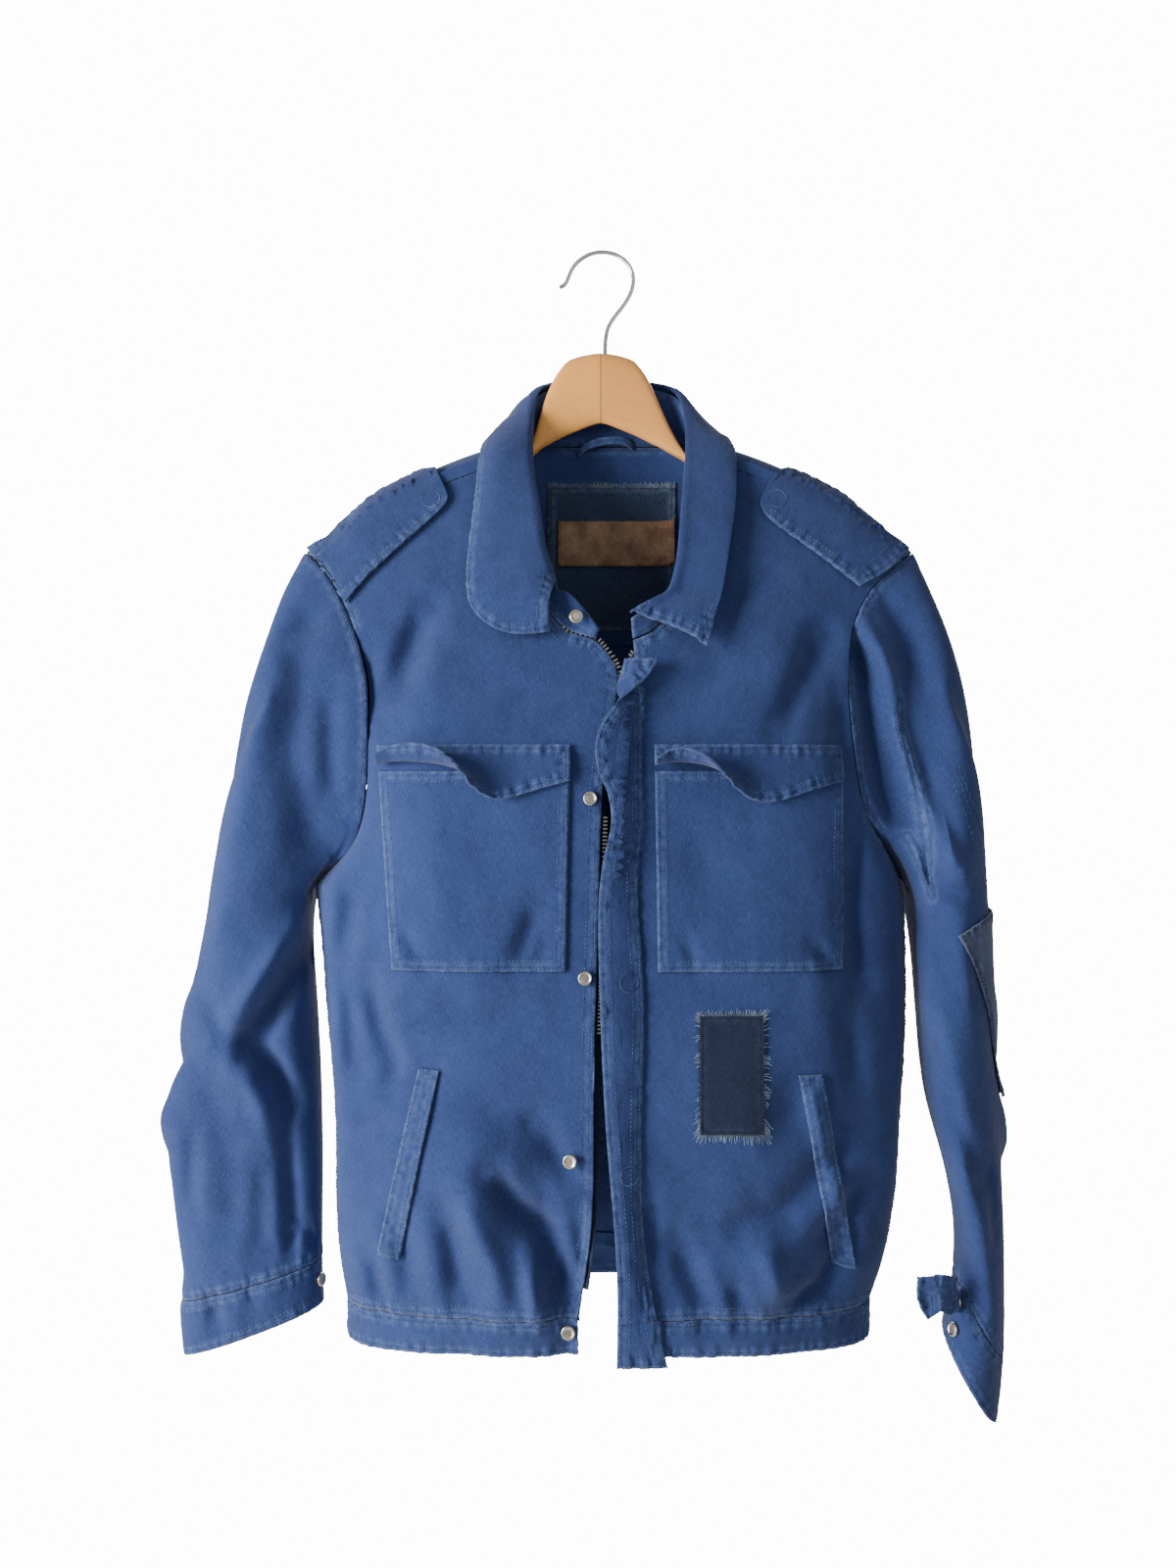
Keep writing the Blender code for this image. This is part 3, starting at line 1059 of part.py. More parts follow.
def build_hanger():
    stations = [-x for x in ARM_STATIONS[:0:-1]] + list(ARM_STATIONS)
    verts, faces = [], []
    count = 10
    for x in stations:
        span = abs(x)
        half = abs(x - MIDDLE_X)
        if span < 0.092:
            reach = span + 0.010 * ease(0.045, 0.058, span) if x < 0 else span
            top, bottom = along(ARM_TOP_LINE, reach), along(ARM_BOTTOM_LINE, reach)
            top = min(top, ridge_z(half) - ARM_CLEAR) if half > 0.070 else top
        else:
            dip = 0.006 * (1 - ease(0.09, 0.12, span)) + 0.006 * ease(0.17, 0.22, span)
            top = ridge_z(half) - ARM_CLEAR - dip
            bottom = top - 0.0175
        blunt = 1 - ease(0.213, 0.2235, span) * 0.55
        centre = (top + bottom) / 2
        tall, deep = (top - bottom) / 2 * blunt, ARM_THICKNESS / 2 * blunt
        y = ridge_y(max(half, 0.05)) - 0.002 * (1 - min(1.0, span / 0.08))
        for k in range(count):
            turn = 2 * math.pi * (k + 0.5) / count
            c, s = math.cos(turn), math.sin(turn)
            verts.append(Vector((x - MIDDLE_X, y + deep * math.copysign(abs(c) ** 0.7, c),
                                 centre + tall * math.copysign(abs(s) ** 0.75, s))))
    for i in range(len(stations) - 1):
        for k in range(count):
            a, b = i * count + k, i * count + (k + 1) % count
            faces += [(a, b, b + count), (a, b + count, a + count)]
    last = (len(stations) - 1) * count
    faces.append(tuple(range(count - 1, -1, -1)))
    faces.append(tuple(last + k for k in range(count)))
    new_object("hanger_wood", verts, faces, "wood")

    curve = bpy.data.curves.new("hanger_hook", "CURVE")
    curve.dimensions = "3D"
    curve.bevel_depth = HOOK_WIRE
    curve.bevel_resolution = 2
    curve.use_fill_caps = True
    line = curve.splines.new("POLY")
    line.points.add(len(HOOK_PATH) - 1)
    for point, (x, y, z) in zip(line.points, HOOK_PATH):
        point.co = (x, y, z, 1)
    line.use_smooth = True
    curve.materials.append(finish("steel"))
    hook = bpy.data.objects.new("hanger_hook", curve)
    bpy.context.scene.collection.objects.link(hook)
    hook.parent = ROOT


for old in list(bpy.data.objects):
    bpy.data.objects.remove(old)
ROOT = bpy.data.objects.new("jacket", None)
bpy.context.scene.collection.objects.link(ROOT)
build_hanger()
build_body()
build_hem_band()
build_sleeves()
build_collar()
for side, which in ((LEFT, "right"), (RIGHT, "left")):
    build_pocket(side, which)
    build_welt(side, which)
    build_zip_tape(side, which)
    build_epaulette(side, which)
build_front_patch()
build_placket()
build_neck_inside()
build_cuff_tab()
build_snaps()
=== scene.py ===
"""Worn blue cotton work jacket with patches, hanging open on a wooden hanger."""

import math

import bmesh
import bpy
import numpy as np
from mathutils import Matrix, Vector, kdtree
from mathutils.bvhtree import BVHTree


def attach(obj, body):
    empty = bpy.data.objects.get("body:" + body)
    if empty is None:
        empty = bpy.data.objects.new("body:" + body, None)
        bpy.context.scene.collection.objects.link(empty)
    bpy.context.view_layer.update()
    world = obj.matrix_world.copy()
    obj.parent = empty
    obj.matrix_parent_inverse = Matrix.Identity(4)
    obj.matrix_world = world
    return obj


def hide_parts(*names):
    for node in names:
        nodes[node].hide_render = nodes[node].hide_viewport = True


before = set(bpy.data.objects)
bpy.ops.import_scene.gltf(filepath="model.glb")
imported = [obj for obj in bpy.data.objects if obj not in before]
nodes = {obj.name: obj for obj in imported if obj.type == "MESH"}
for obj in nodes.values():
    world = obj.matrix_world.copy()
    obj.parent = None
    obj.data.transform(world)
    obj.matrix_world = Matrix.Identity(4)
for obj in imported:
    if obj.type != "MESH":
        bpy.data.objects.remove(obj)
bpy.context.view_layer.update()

# The view: a camera straight in front at chest height, soft light from the viewer's left as
# from a window, and a pale floor below the hanging jacket.
camera = bpy.data.objects.new("camera", bpy.data.cameras.new("camera"))
camera.location = (-0.010, -1.10, -0.417)
camera.rotation_euler = (math.radians(90), 0, 0)
camera.data.lens = 32.1
camera.data.sensor_width = 36
bpy.context.scene.collection.objects.link(camera)
bpy.context.scene.camera = camera


def soft_light(name, place, aim, size, power, colour):
    lamp = bpy.data.lights.new(name, "AREA")
    lamp.size = size
    lamp.energy = power
    lamp.color = colour
    light = bpy.data.objects.new(name, lamp)
    light.location = place
    light.rotation_euler = (Vector(aim) - Vector(place)).to_track_quat("-Z", "Y").to_euler()
    bpy.context.scene.collection.objects.link(light)


soft_light("window", (-1.60, -1.0, -0.20), (-0.1, 0.0, -0.60), 0.8, 54, (1.0, 0.985, 0.96))
soft_light("sill", (-1.25, -0.9, -1.15), (-0.15, 0.0, -0.75), 0.7, 15, (1.0, 0.985, 0.96))
soft_light("room", (1.2, -1.9, 0.2), (0.0, 0.0, -0.5), 1.6, 5, (0.94, 0.97, 1.0))
soft_light("behind", (0.5, 1.8, 0.6), (0.0, 0.0, -0.45), 1.6, 40, (1.0, 1.0, 1.0))

world = bpy.data.worlds.new("studio")
bpy.context.scene.world = world
world.use_nodes = True
world.node_tree.nodes["Background"].inputs["Color"].default_value = (1, 1, 1, 1)
# The camera looks straight at a white room that lights the jacket only softly.
seen = world.node_tree.nodes.new("ShaderNodeLightPath").outputs["Is Camera Ray"]
strength = world.node_tree.nodes.new("ShaderNodeMapRange")
strength.inputs["To Min"].default_value = 0.36
strength.inputs["To Max"].default_value = 14.0
world.node_tree.links.new(seen, strength.inputs["Value"])
world.node_tree.links.new(strength.outputs[0], world.node_tree.nodes["Background"].inputs["Strength"])

floor_mesh = bpy.data.meshes.new("floor")
floor_mesh.from_pydata([(-0.8, -0.8, -1.6), (0.8, -0.8, -1.6), (0.8, 0.8, -1.6), (-0.8, 0.8, -1.6)], [],
                       [(0, 1, 2, 3)])
floor = bpy.data.objects.new("floor", floor_mesh)
bpy.context.scene.collection.objects.link(floor)
pale = bpy.data.materials.new("pale_floor")
pale.use_nodes = True
pale.node_tree.nodes["Principled BSDF"].inputs["Base Color"].default_value = (0.85, 0.85, 0.84, 1)
pale.node_tree.nodes["Principled BSDF"].inputs["Roughness"].default_value = 0.8
floor_mesh.materials.append(pale)


# Hanger: two beech arms glued at a straight joint in the middle, rounded over and lacquered,
# with a bright steel hook turned from one wire and screwed into the joint.
HOOK_WIRE = 0.00165
HOOK_LINE = ((0.0034, -0.0068, -0.0830), (0.0030, -0.0045, -0.0660), (0.0072, -0.0020, -0.0540),
             (0.0160, -0.0010, -0.0440), (0.0238, 0.0, -0.0320), (0.0263, 0.0, -0.0220),
             (0.0250, 0.0, -0.0130), (0.0205, 0.0, -0.0060), (0.0130, 0.0, -0.0005),
             (0.0040, 0.0, 0.0016), (-0.0040, 0.0, 0.0012), (-0.0110, 0.0, -0.0010),
             (-0.0190, 0.0, -0.0065), (-0.0240, 0.0, -0.0140), (-0.0262, 0.0, -0.0220),
             (-0.0292, 0.0, -0.0256), (-0.0325, 0.0, -0.0262))


class Finish:
    """A node material put together one node at a time."""

    def __init__(self, name):
        self.material = bpy.data.materials.new(name)
        self.material.use_nodes = True
        self.tree = self.material.node_tree
        self.shader = self.tree.nodes["Principled BSDF"]

    def node(self, kind, inputs=(), **settings):
        made = self.tree.nodes.new(kind)
        for key, value in settings.items():
            setattr(made, key, value)
        for key, value in dict(inputs).items():
            if isinstance(value, bpy.types.NodeSocket):
                self.tree.links.new(value, made.inputs[key])
            else:
                made.inputs[key].default_value = value
        return made

    def value(self, kind, a, b=0.0):
        return self.node("ShaderNodeMath", {0: a, 1: b}, operation=kind).outputs[0]

    def blend(self, share, a, b):
        made = self.node("ShaderNodeMix", {"Factor": share, 6: a, 7: b}, data_type="RGBA")
        return made.outputs[2]

    def ramp(self, value, low, high, start=0.0, end=1.0):
        made = self.node("ShaderNodeMapRange", {0: value, 1: low, 2: high, 3: start, 4: end}, clamp=True)
        return made.outputs[0]

    def noise(self, vector, scale, detail=2.0, rough=0.5):
        made = self.node("ShaderNodeTexNoise", {"Vector": vector, "Scale": scale, "Detail": detail,
                                                "Roughness": rough})
        return made.outputs["Fac"]

    def stretched(self, vector, scale):
        return self.node("ShaderNodeVectorMath", {0: vector, 1: scale}, operation="MULTIPLY").outputs[0]

    def bump(self, height, distance, strength=1.0, under=None):
        inputs = {"Height": height, "Distance": distance, "Strength": strength}
        if under:
            inputs["Normal"] = under
        return self.node("ShaderNodeBump", inputs).outputs[0]

    def wear(self, **sockets):
        for key, value in sockets.items():
            socket = self.shader.inputs[key.replace("_", " ")]
            if isinstance(value, bpy.types.NodeSocket):
                self.tree.links.new(value, socket)
            else:
                socket.default_value = value
        return self.material


def beech():
    f = Finish("beech")
    place = f.node("ShaderNodeTexCoord").outputs["Object"]
    parts = f.node("ShaderNodeSeparateXYZ", {0: place})
    right = f.value("GREATER_THAN", parts.outputs[0], 0.0)
    tilt = f.value("MULTIPLY", f.value("SUBTRACT", right, 0.5), 0.9)
    lean = f.value("ADD", parts.outputs[2], f.value("MULTIPLY", parts.outputs[0], tilt))
    along_arm = f.node("ShaderNodeCombineXYZ", {0: parts.outputs[0], 1: parts.outputs[1], 2: lean}).outputs[0]
    grain = f.noise(f.stretched(along_arm, (14, 300, 330)), 1.0, 4.0, 0.6)
    flecks = f.ramp(f.noise(f.stretched(along_arm, (260, 900, 1500)), 1.0, 1.0), 0.60, 0.70)
    light_wood = f.blend(grain, (1.0, 0.49, 0.12, 1), (0.95, 0.38, 0.07, 1))
    # The right arm is painted darker than the left: painted shade, because the light falls from the viewer's
    # left.
    painted_shade_right_arm = f.blend(f.value("MULTIPLY", right, 0.22), light_wood, (0.62, 0.25, 0.08, 1))
    flecked = f.blend(f.value("MULTIPLY", flecks, 0.30), painted_shade_right_arm, (0.36, 0.14, 0.05, 1))
    joint = f.ramp(f.value("ABSOLUTE", parts.outputs[0]), 0.00025, 0.0006, 1.0, 0.0)
    colour = f.blend(f.value("MULTIPLY", joint, 0.75), flecked, (0.16, 0.06, 0.02, 1))
    relief = f.bump(f.value("SUBTRACT", grain, joint), 0.0002, 0.35)
    return f.wear(Base_Color=colour, Roughness=0.38, Coat_Weight=0.35, Coat_Roughness=0.25, Normal=relief)


def bright_steel():
    f = Finish("bright_steel")
    place = f.node("ShaderNodeTexCoord").outputs["Object"]
    haze = f.noise(place, 400.0, 3.0)
    rough = f.ramp(haze, 0.3, 0.7, 0.12, 0.28)
    return f.wear(Base_Color=(0.78, 0.78, 0.76, 1), Metallic=1.0, Roughness=rough)


def add_piece(name, mesh, material, slot, *stands_for):
    mesh.materials.clear()
    mesh.materials.append(material)
    piece = bpy.data.objects.new(name, mesh)
    bpy.context.scene.collection.objects.link(piece)
    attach(piece, "root")
    if stands_for:
        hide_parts(*stands_for)
    return piece


def soft_quads(node, sharp=50):
    """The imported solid's own mesh, merged into quads, with its sharp edges held."""
    bm = bmesh.new()
    bm.from_mesh(nodes[node].data)
    bmesh.ops.remove_doubles(bm, verts=bm.verts, dist=1e-5)
    bmesh.ops.join_triangles(bm, faces=bm.faces, angle_face_threshold=math.radians(45),
                             angle_shape_threshold=math.radians(75))
    held = bm.edges.layers.float.get("crease_edge") or bm.edges.layers.float.new("crease_edge")
    for edge in bm.edges:
        if len(edge.link_faces) == 2 and edge.calc_face_angle() > math.radians(sharp):
            edge[held] = 1.0
    return bm


def divided(bm, name, levels):
    """The mesh after this many subdivisions, as a plain mesh."""
    mesh = bpy.data.meshes.new(name + "_coarse")
    bm.to_mesh(mesh)
    rough_piece = bpy.data.objects.new(name + "_coarse", mesh)
    bpy.context.scene.collection.objects.link(rough_piece)
    smooth = rough_piece.modifiers.new("smooth", "SUBSURF")
    smooth.levels = smooth.render_levels = levels
    seen = rough_piece.evaluated_get(bpy.context.evaluated_depsgraph_get())
    made = bpy.data.meshes.new_from_object(seen)
    made.name = name
    bpy.data.objects.remove(rough_piece)
    bpy.data.meshes.remove(mesh)
    made.shade_smooth()
    return made


wood = soft_quads("hanger_wood", 70)
add_piece("hanger_arms", divided(wood, "hanger_arms", 2), beech(), "wood", "hanger_wood")

wire = bpy.data.curves.new("hook_wire", "CURVE")
wire.dimensions = "3D"
wire.bevel_depth = HOOK_WIRE
wire.bevel_resolution = 5
wire.use_fill_caps = True
line = wire.splines.new("NURBS")
line.points.add(len(HOOK_LINE) - 1)
for knot, place in zip(line.points, HOOK_LINE):
    knot.co = (*place, 1)
line.order_u = 4
line.use_endpoint_u = True
line.resolution_u = 6
wire_piece = bpy.data.objects.new("hook_wire", wire)
bpy.context.scene.collection.objects.link(wire_piece)
hook_mesh = bpy.data.meshes.new_from_object(wire_piece.evaluated_get(bpy.context.evaluated_depsgraph_get()))
bpy.data.objects.remove(wire_piece)
hook_mesh.shade_smooth()
add_piece("hook", hook_mesh, bright_steel(), "steel", "hanger_hook")


# Body: the main cloth is a mid-weight blue cotton twill, faded by washing and paler on every raised
# edge. Two fronts, a back and a yoke are cut flat, sewn with felled seams and topstitched twice.
# Folds of the fronts as worn: a line of x and z, half its width, and its depth (ridges are negative).
FRONT_CREASES = (
    (((-0.1286, -0.2874), (-0.1369, -0.306), (-0.152, -0.348)), 0.010, 0.0045),
    (((-0.1162, -0.3067), (-0.1314, -0.3618)), 0.012, -0.0025),
    (((-0.1741, -0.3136), (-0.1658, -0.3756)), 0.009, 0.0030),
    (((-0.0452, -0.5032), (-0.0617, -0.548)), 0.008, 0.0030),
    (((-0.1445, -0.5204), (-0.1258, -0.5494)), 0.005, 0.0018),
    (((-0.0376, -0.5239), (-0.0479, -0.548)), 0.005, 0.0018),
    (((-0.1693, -0.5618), (-0.1596, -0.5956), (-0.15, -0.617), (-0.152, -0.6377)), 0.008, 0.0040),
    (((-0.181, -0.4894), (-0.1907, -0.548)), 0.009, 0.0040),
    (((-0.1858, -0.5618), (-0.181, -0.6308)), 0.008, 0.0035),
    (((-0.079, -0.6894), (-0.0596, -0.7169), (-0.0383, -0.7356), (-0.0252, -0.779)), 0.009, 0.0065),
    (((-0.0996, -0.7032), (-0.0755, -0.7549), (-0.0707, -0.7893)), 0.010, -0.0040),
    (((-0.0459, -0.6583), (-0.0155, -0.7032)), 0.009, 0.0040),
    (((-0.11, -0.7204), (-0.0996, -0.7825)), 0.009, 0.0045),
    (((-0.1445, -0.7273), (-0.1341, -0.7859)), 0.010, 0.0040),
    (((-0.1672, -0.7549), (-0.1583, -0.7928)), 0.007, 0.0035),
    (((-0.0514, -0.748), (-0.0459, -0.7928)), 0.007, -0.0045),
    (((-0.0169, -0.7204), (-0.0128, -0.7618)), 0.006, 0.0030),
    (((-0.1272, -0.5756), (-0.0927, -0.5839), (-0.0376, -0.5756)), 0.014, 0.0025),
    (((-0.11, -0.6273), (-0.0583, -0.6583)), 0.014, 0.0020),
    (((-0.1203, -0.679), (-0.0652, -0.6825)), 0.012, -0.0020),
    (((-0.079, -0.348), (-0.0376, -0.3653)), 0.016, 0.0020),
    (((-0.0996, -0.4377), (-0.0652, -0.486)), 0.018, 0.0015),
    (((-0.1272, -0.4584), (-0.1134, -0.5204)), 0.014, -0.0015),
    (((0.1624, -0.3067), (0.1431, -0.348), (0.1279, -0.3791)), 0.010, 0.0040),
    (((0.1776, -0.348), (0.1748, -0.4101)), 0.008, 0.0030),
    (((0.121, -0.2584), (0.0727, -0.3067)), 0.012, 0.0025),
    (((0.1003, -0.3205), (0.059, -0.3549)), 0.014, 0.0020),
    (((0.1865, -0.4515), (0.1803, -0.5066), (0.1858, -0.5618)), 0.009, 0.0040),
    (((0.1762, -0.5825), (0.1831, -0.6377)), 0.009, 0.0030),
    (((0.15, -0.5308), (0.1679, -0.5521)), 0.005, 0.0020),
    (((0.059, -0.5273), (0.0672, -0.548)), 0.005, 0.0015),
    (((0.059, -0.5618), (0.1279, -0.5701)), 0.014, 0.0020),
    (((0.1831, -0.6652), (0.1279, -0.7204), (0.0796, -0.7356)), 0.013, 0.0045),
    (((0.19, -0.7032), (0.1486, -0.7549)), 0.010, 0.0045),
    (((0.1762, -0.7411), (0.1569, -0.7756), (0.1279, -0.7907)), 0.008, 0.0050),
    (((0.0521, -0.7411), (0.0693, -0.7756), (0.0741, -0.7928)), 0.009, 0.0045),
    (((0.09, -0.7618), (0.1003, -0.7928)), 0.008, 0.0040),
    (((0.1107, -0.7342), (0.1279, -0.7825)), 0.009, -0.0040),
    (((0.0314, -0.7066), (0.0369, -0.7618)), 0.007, 0.0030),
    (((0.1383, -0.6273), (0.1245, -0.6652)), 0.010, 0.0020),
    (((0.059, -0.4515), (0.0865, -0.5066)), 0.018, 0.0015),
    (((0.1472, -0.6308), (0.1624, -0.6928), (0.1748, -0.7342)), 0.006, -0.0020),
)
# The back hangs in long soft folds below the shoulder blades, with drag lines from the armpits.
BACK_CREASES = (
    (((-0.090, -0.430), (-0.078, -0.600), (-0.070, -0.770)), 0.014, 0.0040),
    (((-0.128, -0.470), (-0.120, -0.620), (-0.118, -0.760)), 0.012, -0.0030),
    (((0.118, -0.420), (0.100, -0.590), (0.092, -0.770)), 0.014, 0.0042),
    (((0.150, -0.500), (0.140, -0.640), (0.142, -0.740)), 0.012, -0.0030),
    (((0.020, -0.520), (0.012, -0.650), (0.020, -0.780)), 0.013, 0.0035),
    (((-0.024, -0.560), (-0.030, -0.780)), 0.014, -0.0030),
    (((0.056, -0.560), (0.060, -0.775)), 0.013, -0.0032),
    (((-0.185, -0.400), (-0.150, -0.470), (-0.120, -0.505)), 0.010, 0.0040),
    (((0.197, -0.400), (0.165, -0.470), (0.130, -0.500)), 0.010, 0.0040),
    (((-0.170, -0.340), (-0.120, -0.390)), 0.012, 0.0025),
    (((0.180, -0.340), (0.130, -0.390)), 0.012, 0.0025),
    (((-0.160, -0.660), (-0.120, -0.720), (-0.060, -0.742)), 0.012, 0.0030),
    (((0.170, -0.650), (0.130, -0.715), (0.070, -0.735)), 0.012, 0.0030),
    (((-0.140, -0.740), (-0.136, -0.785)), 0.006, 0.0035),
    (((-0.050, -0.745), (-0.052, -0.785)), 0.006, 0.0030),
    (((0.080, -0.745), (0.078, -0.785)), 0.006, 0.0030),
    (((0.150, -0.735), (0.152, -0.785)), 0.006, 0.0035),
)
# Folds of the two sleeves, on the side that shows, their likes at the back and down the outer sides.
SLEEVE_RIGHT = (
    (((-0.2023, -0.5153), (-0.2358, -0.5708), (-0.2579, -0.6065)), 0.009, 0.0070),
    (((-0.2109, -0.506), (-0.2465, -0.5595), (-0.2678, -0.5879)), 0.009, -0.0050),
    (((-0.2579, -0.6086), (-0.2429, -0.6257), (-0.2301, -0.6535)), 0.008, 0.0060),
    (((-0.2664, -0.62), (-0.2507, -0.6449), (-0.2408, -0.677)), 0.010, -0.0040),
    (((-0.2336, -0.6542), (-0.2329, -0.7019), (-0.2308, -0.7503)), 0.006, 0.0035),
    (((-0.2237, -0.303), (-0.2265, -0.3885), (-0.2109, -0.474)), 0.014, 0.0035),
    (((-0.2507, -0.3315), (-0.2664, -0.4312), (-0.2913, -0.5167)), 0.016, -0.0030),
    (((-0.2792, -0.3885), (-0.2913, -0.474), (-0.302, -0.5452)), 0.012, 0.0030),
    (((-0.2023, -0.3458), (-0.198, -0.4312)), 0.009, 0.0030),
    (((-0.3034, -0.5666), (-0.2735, -0.6022), (-0.2621, -0.6093)), 0.011, 0.0030),
    (((-0.2949, -0.6307), (-0.2735, -0.6948), (-0.2721, -0.766)), 0.014, 0.0025),
    (((-0.2507, -0.6948), (-0.2536, -0.766)), 0.009, 0.0025),
    (((-0.2322, -0.7461), (-0.2315, -0.7696)), 0.005, 0.0025),
    (((-0.2223, -0.7461), (-0.2137, -0.766)), 0.005, 0.0025),
    (((-0.2892, -0.8002), (-0.2864, -0.8216)), 0.006, 0.0030),
    (((-0.2593, -0.7859), (-0.2593, -0.8087)), 0.006, 0.0015),
    (((-0.2237, -0.531), (-0.208, -0.5666), (-0.2109, -0.6164)), 0.009, 0.0030),
    (((-0.302, -0.6663), (-0.3063, -0.7375)), 0.008, 0.0025),
    (((-0.2094, -0.2745), (-0.2308, -0.3173)), 0.011, 0.0030),
)
SLEEVE_LEFT = (
    (((0.1923, -0.2973), (0.2065, -0.3173), (0.2136, -0.3387), (0.2186, -0.3778), (0.2307, -0.4206),
      (0.245, -0.4597), (0.255, -0.4811)), 0.008, -0.0060),
    (((0.1837, -0.303), (0.1937, -0.3387), (0.1987, -0.3743), (0.2072, -0.417), (0.2215, -0.4526)),
     0.009, 0.0080),
    (((0.225, -0.2745), (0.2393, -0.3387), (0.2507, -0.4099)), 0.011, 0.0030),
    (((0.2072, -0.2674), (0.225, -0.303), (0.2336, -0.3458)), 0.008, 0.0030),
    (((0.2286, -0.474), (0.25, -0.4918), (0.2678, -0.4989)), 0.008, 0.0040),
    (((0.2215, -0.506), (0.2428, -0.531), (0.25, -0.5666)), 0.010, 0.0040),
    (((0.2357, -0.5666), (0.25, -0.6307), (0.2642, -0.6948)), 0.009, -0.0030),
    (((0.2478, -0.6449), (0.2713, -0.6948), (0.2834, -0.7233)), 0.008, 0.0030),
    (((0.2535, -0.7233), (0.2678, -0.7731), (0.2785, -0.8159)), 0.007, 0.0035),
    (((0.282, -0.6877), (0.2891, -0.7589)), 0.006, 0.0025),
    (((0.2407, -0.6022), (0.2571, -0.6734)), 0.008, 0.0030),
    (((0.2678, -0.5238), (0.2749, -0.5737)), 0.006, 0.0020),
)
SLEEVE_BACK = (
    (((-0.225, -0.420), (-0.262, -0.500), (-0.300, -0.540)), 0.012, 0.0045),
    (((-0.230, -0.610), (-0.268, -0.640), (-0.310, -0.640)), 0.010, 0.0050),
    (((-0.232, -0.655), (-0.270, -0.680), (-0.312, -0.690)), 0.010, -0.0040),
    (((-0.250, -0.700), (-0.262, -0.790)), 0.010, 0.0030),
    (((-0.210, -0.310), (-0.245, -0.400), (-0.262, -0.470)), 0.013, -0.0030),
    (((0.215, -0.330), (0.245, -0.420), (0.262, -0.510)), 0.013, 0.0045),
    (((0.240, -0.600), (0.268, -0.640), (0.295, -0.650)), 0.010, 0.0045),
    (((0.248, -0.640), (0.275, -0.680), (0.298, -0.690)), 0.010, -0.0035),
    (((0.272, -0.720), (0.284, -0.800), (0.290, -0.850)), 0.009, 0.0030),
)
# On the outer sides the first value is the depth y in place of x.
SLEEVE_OUTER = (
    (((-0.070, -0.330), (-0.045, -0.450), (-0.050, -0.560)), 0.012, 0.0035),
    (((-0.010, -0.360), (-0.022, -0.480)), 0.011, 0.0030),
    (((-0.070, -0.600), (-0.035, -0.640), (0.000, -0.650)), 0.010, 0.0045),
    (((-0.065, -0.650), (-0.030, -0.690), (-0.005, -0.695)), 0.010, -0.0035),
    (((-0.040, -0.720), (-0.044, -0.800)), 0.009, 0.0030),
)


FOLD_SCALE = 1.9


def smooth_step(a, b, x):
    t = np.clip((x - a) / (b - a), 0, 1)
    return t * t * (3 - 2 * t)


def depth_of(creases, across, z):
    """How deep the folds of one table push the cloth in, at arrays of places."""
    total = np.zeros(len(z))
    for line, width, depth in creases:
        near = np.full(len(z), 1e9)
        ends = np.zeros(len(z))
        for (a0, z0), (a1, z1) in zip(line, line[1:]):
            da, dz = a1 - a0, z1 - z0
            t = np.clip(((across - a0) * da + (z - z0) * dz) / (da * da + dz * dz), 0, 1)
            gap = np.hypot(across - a0 - t * da, z - z0 - t * dz)
            near = np.minimum(near, gap)
        for a, b in (line[0], line[-1]):
            ends = np.maximum(ends, np.exp(-(np.hypot(across - a, z - b) / (width * 1.2)) ** 2))
        total += depth * np.exp(-(near / width) ** 2) * (1 - 0.6 * ends)
    return total * FOLD_SCALE


WAVES = np.random.default_rng(7).uniform(-1, 1, (14, 5))


def ripple(points):
    """Soft unevenness of washed cloth, the same on every piece that lies at a place."""
    total = np.zeros(len(points))
    for i, (a, b, c, start, _) in enumerate(WAVES):
        pitch = 0.030 + 0.006 * i
        turn = (points @ np.array((a, 0.6 * b, 0.7 * c))) * 2 * math.pi / pitch
        total += (pitch / 0.11) ** 1.1 * np.sin(turn + start * 9)
    return total * 0.00042


def arm_middle(side, z):
    """x of a sleeve's middle line, viewer's left -1 or right 1."""
    if side < 0:
        return np.interp(z, (-0.85, -0.70, -0.55, -0.40, -0.24), (-0.268, -0.268, -0.262, -0.232, -0.215))
    return np.interp(z, (-0.90, -0.80, -0.65, -0.50, -0.40, -0.24),
                     (0.288, 0.285, 0.272, 0.262, 0.245, 0.225))


def folded(points, sleeve=0):
    """Moves places of the cloth by its folds, and gives the depth of fold there."""
    x, y, z = points.T
    if sleeve:
        front = smooth_step(-0.030, -0.052, y)
        back = smooth_step(-0.040, -0.018, y)
        seen = depth_of(SLEEVE_RIGHT if sleeve < 0 else SLEEVE_LEFT, x, z) * front
        behind = depth_of(SLEEVE_BACK, x, z) * back
        middle = arm_middle(sleeve, z)
        outer = smooth_step(0.010, 0.032, sleeve * (x - middle))
        beside = depth_of(SLEEVE_OUTER, y, z) * outer
        fade = smooth_step(-0.245, -0.300, z)
    else:
        front = smooth_step(-0.045, -0.062, y)
        back = smooth_step(-0.030, -0.010, y)
        seen = depth_of(FRONT_CREASES, x, z) * front
        behind = depth_of(BACK_CREASES, x, z) * back
        beside = np.zeros(len(z))
        fade = smooth_step(-0.225, -0.270, z)
    soft = ripple(points) * smooth_step(-0.20, -0.25, z)
    moved = points.copy()
    moved[:, 1] += (seen - behind) * fade + soft * np.where(y > -0.03, -1.0, 1.0) * np.abs(front - back)
    if sleeve:
        moved[:, 0] -= sleeve * beside * fade
    return moved, (seen + behind + beside) * fade / FOLD_SCALE


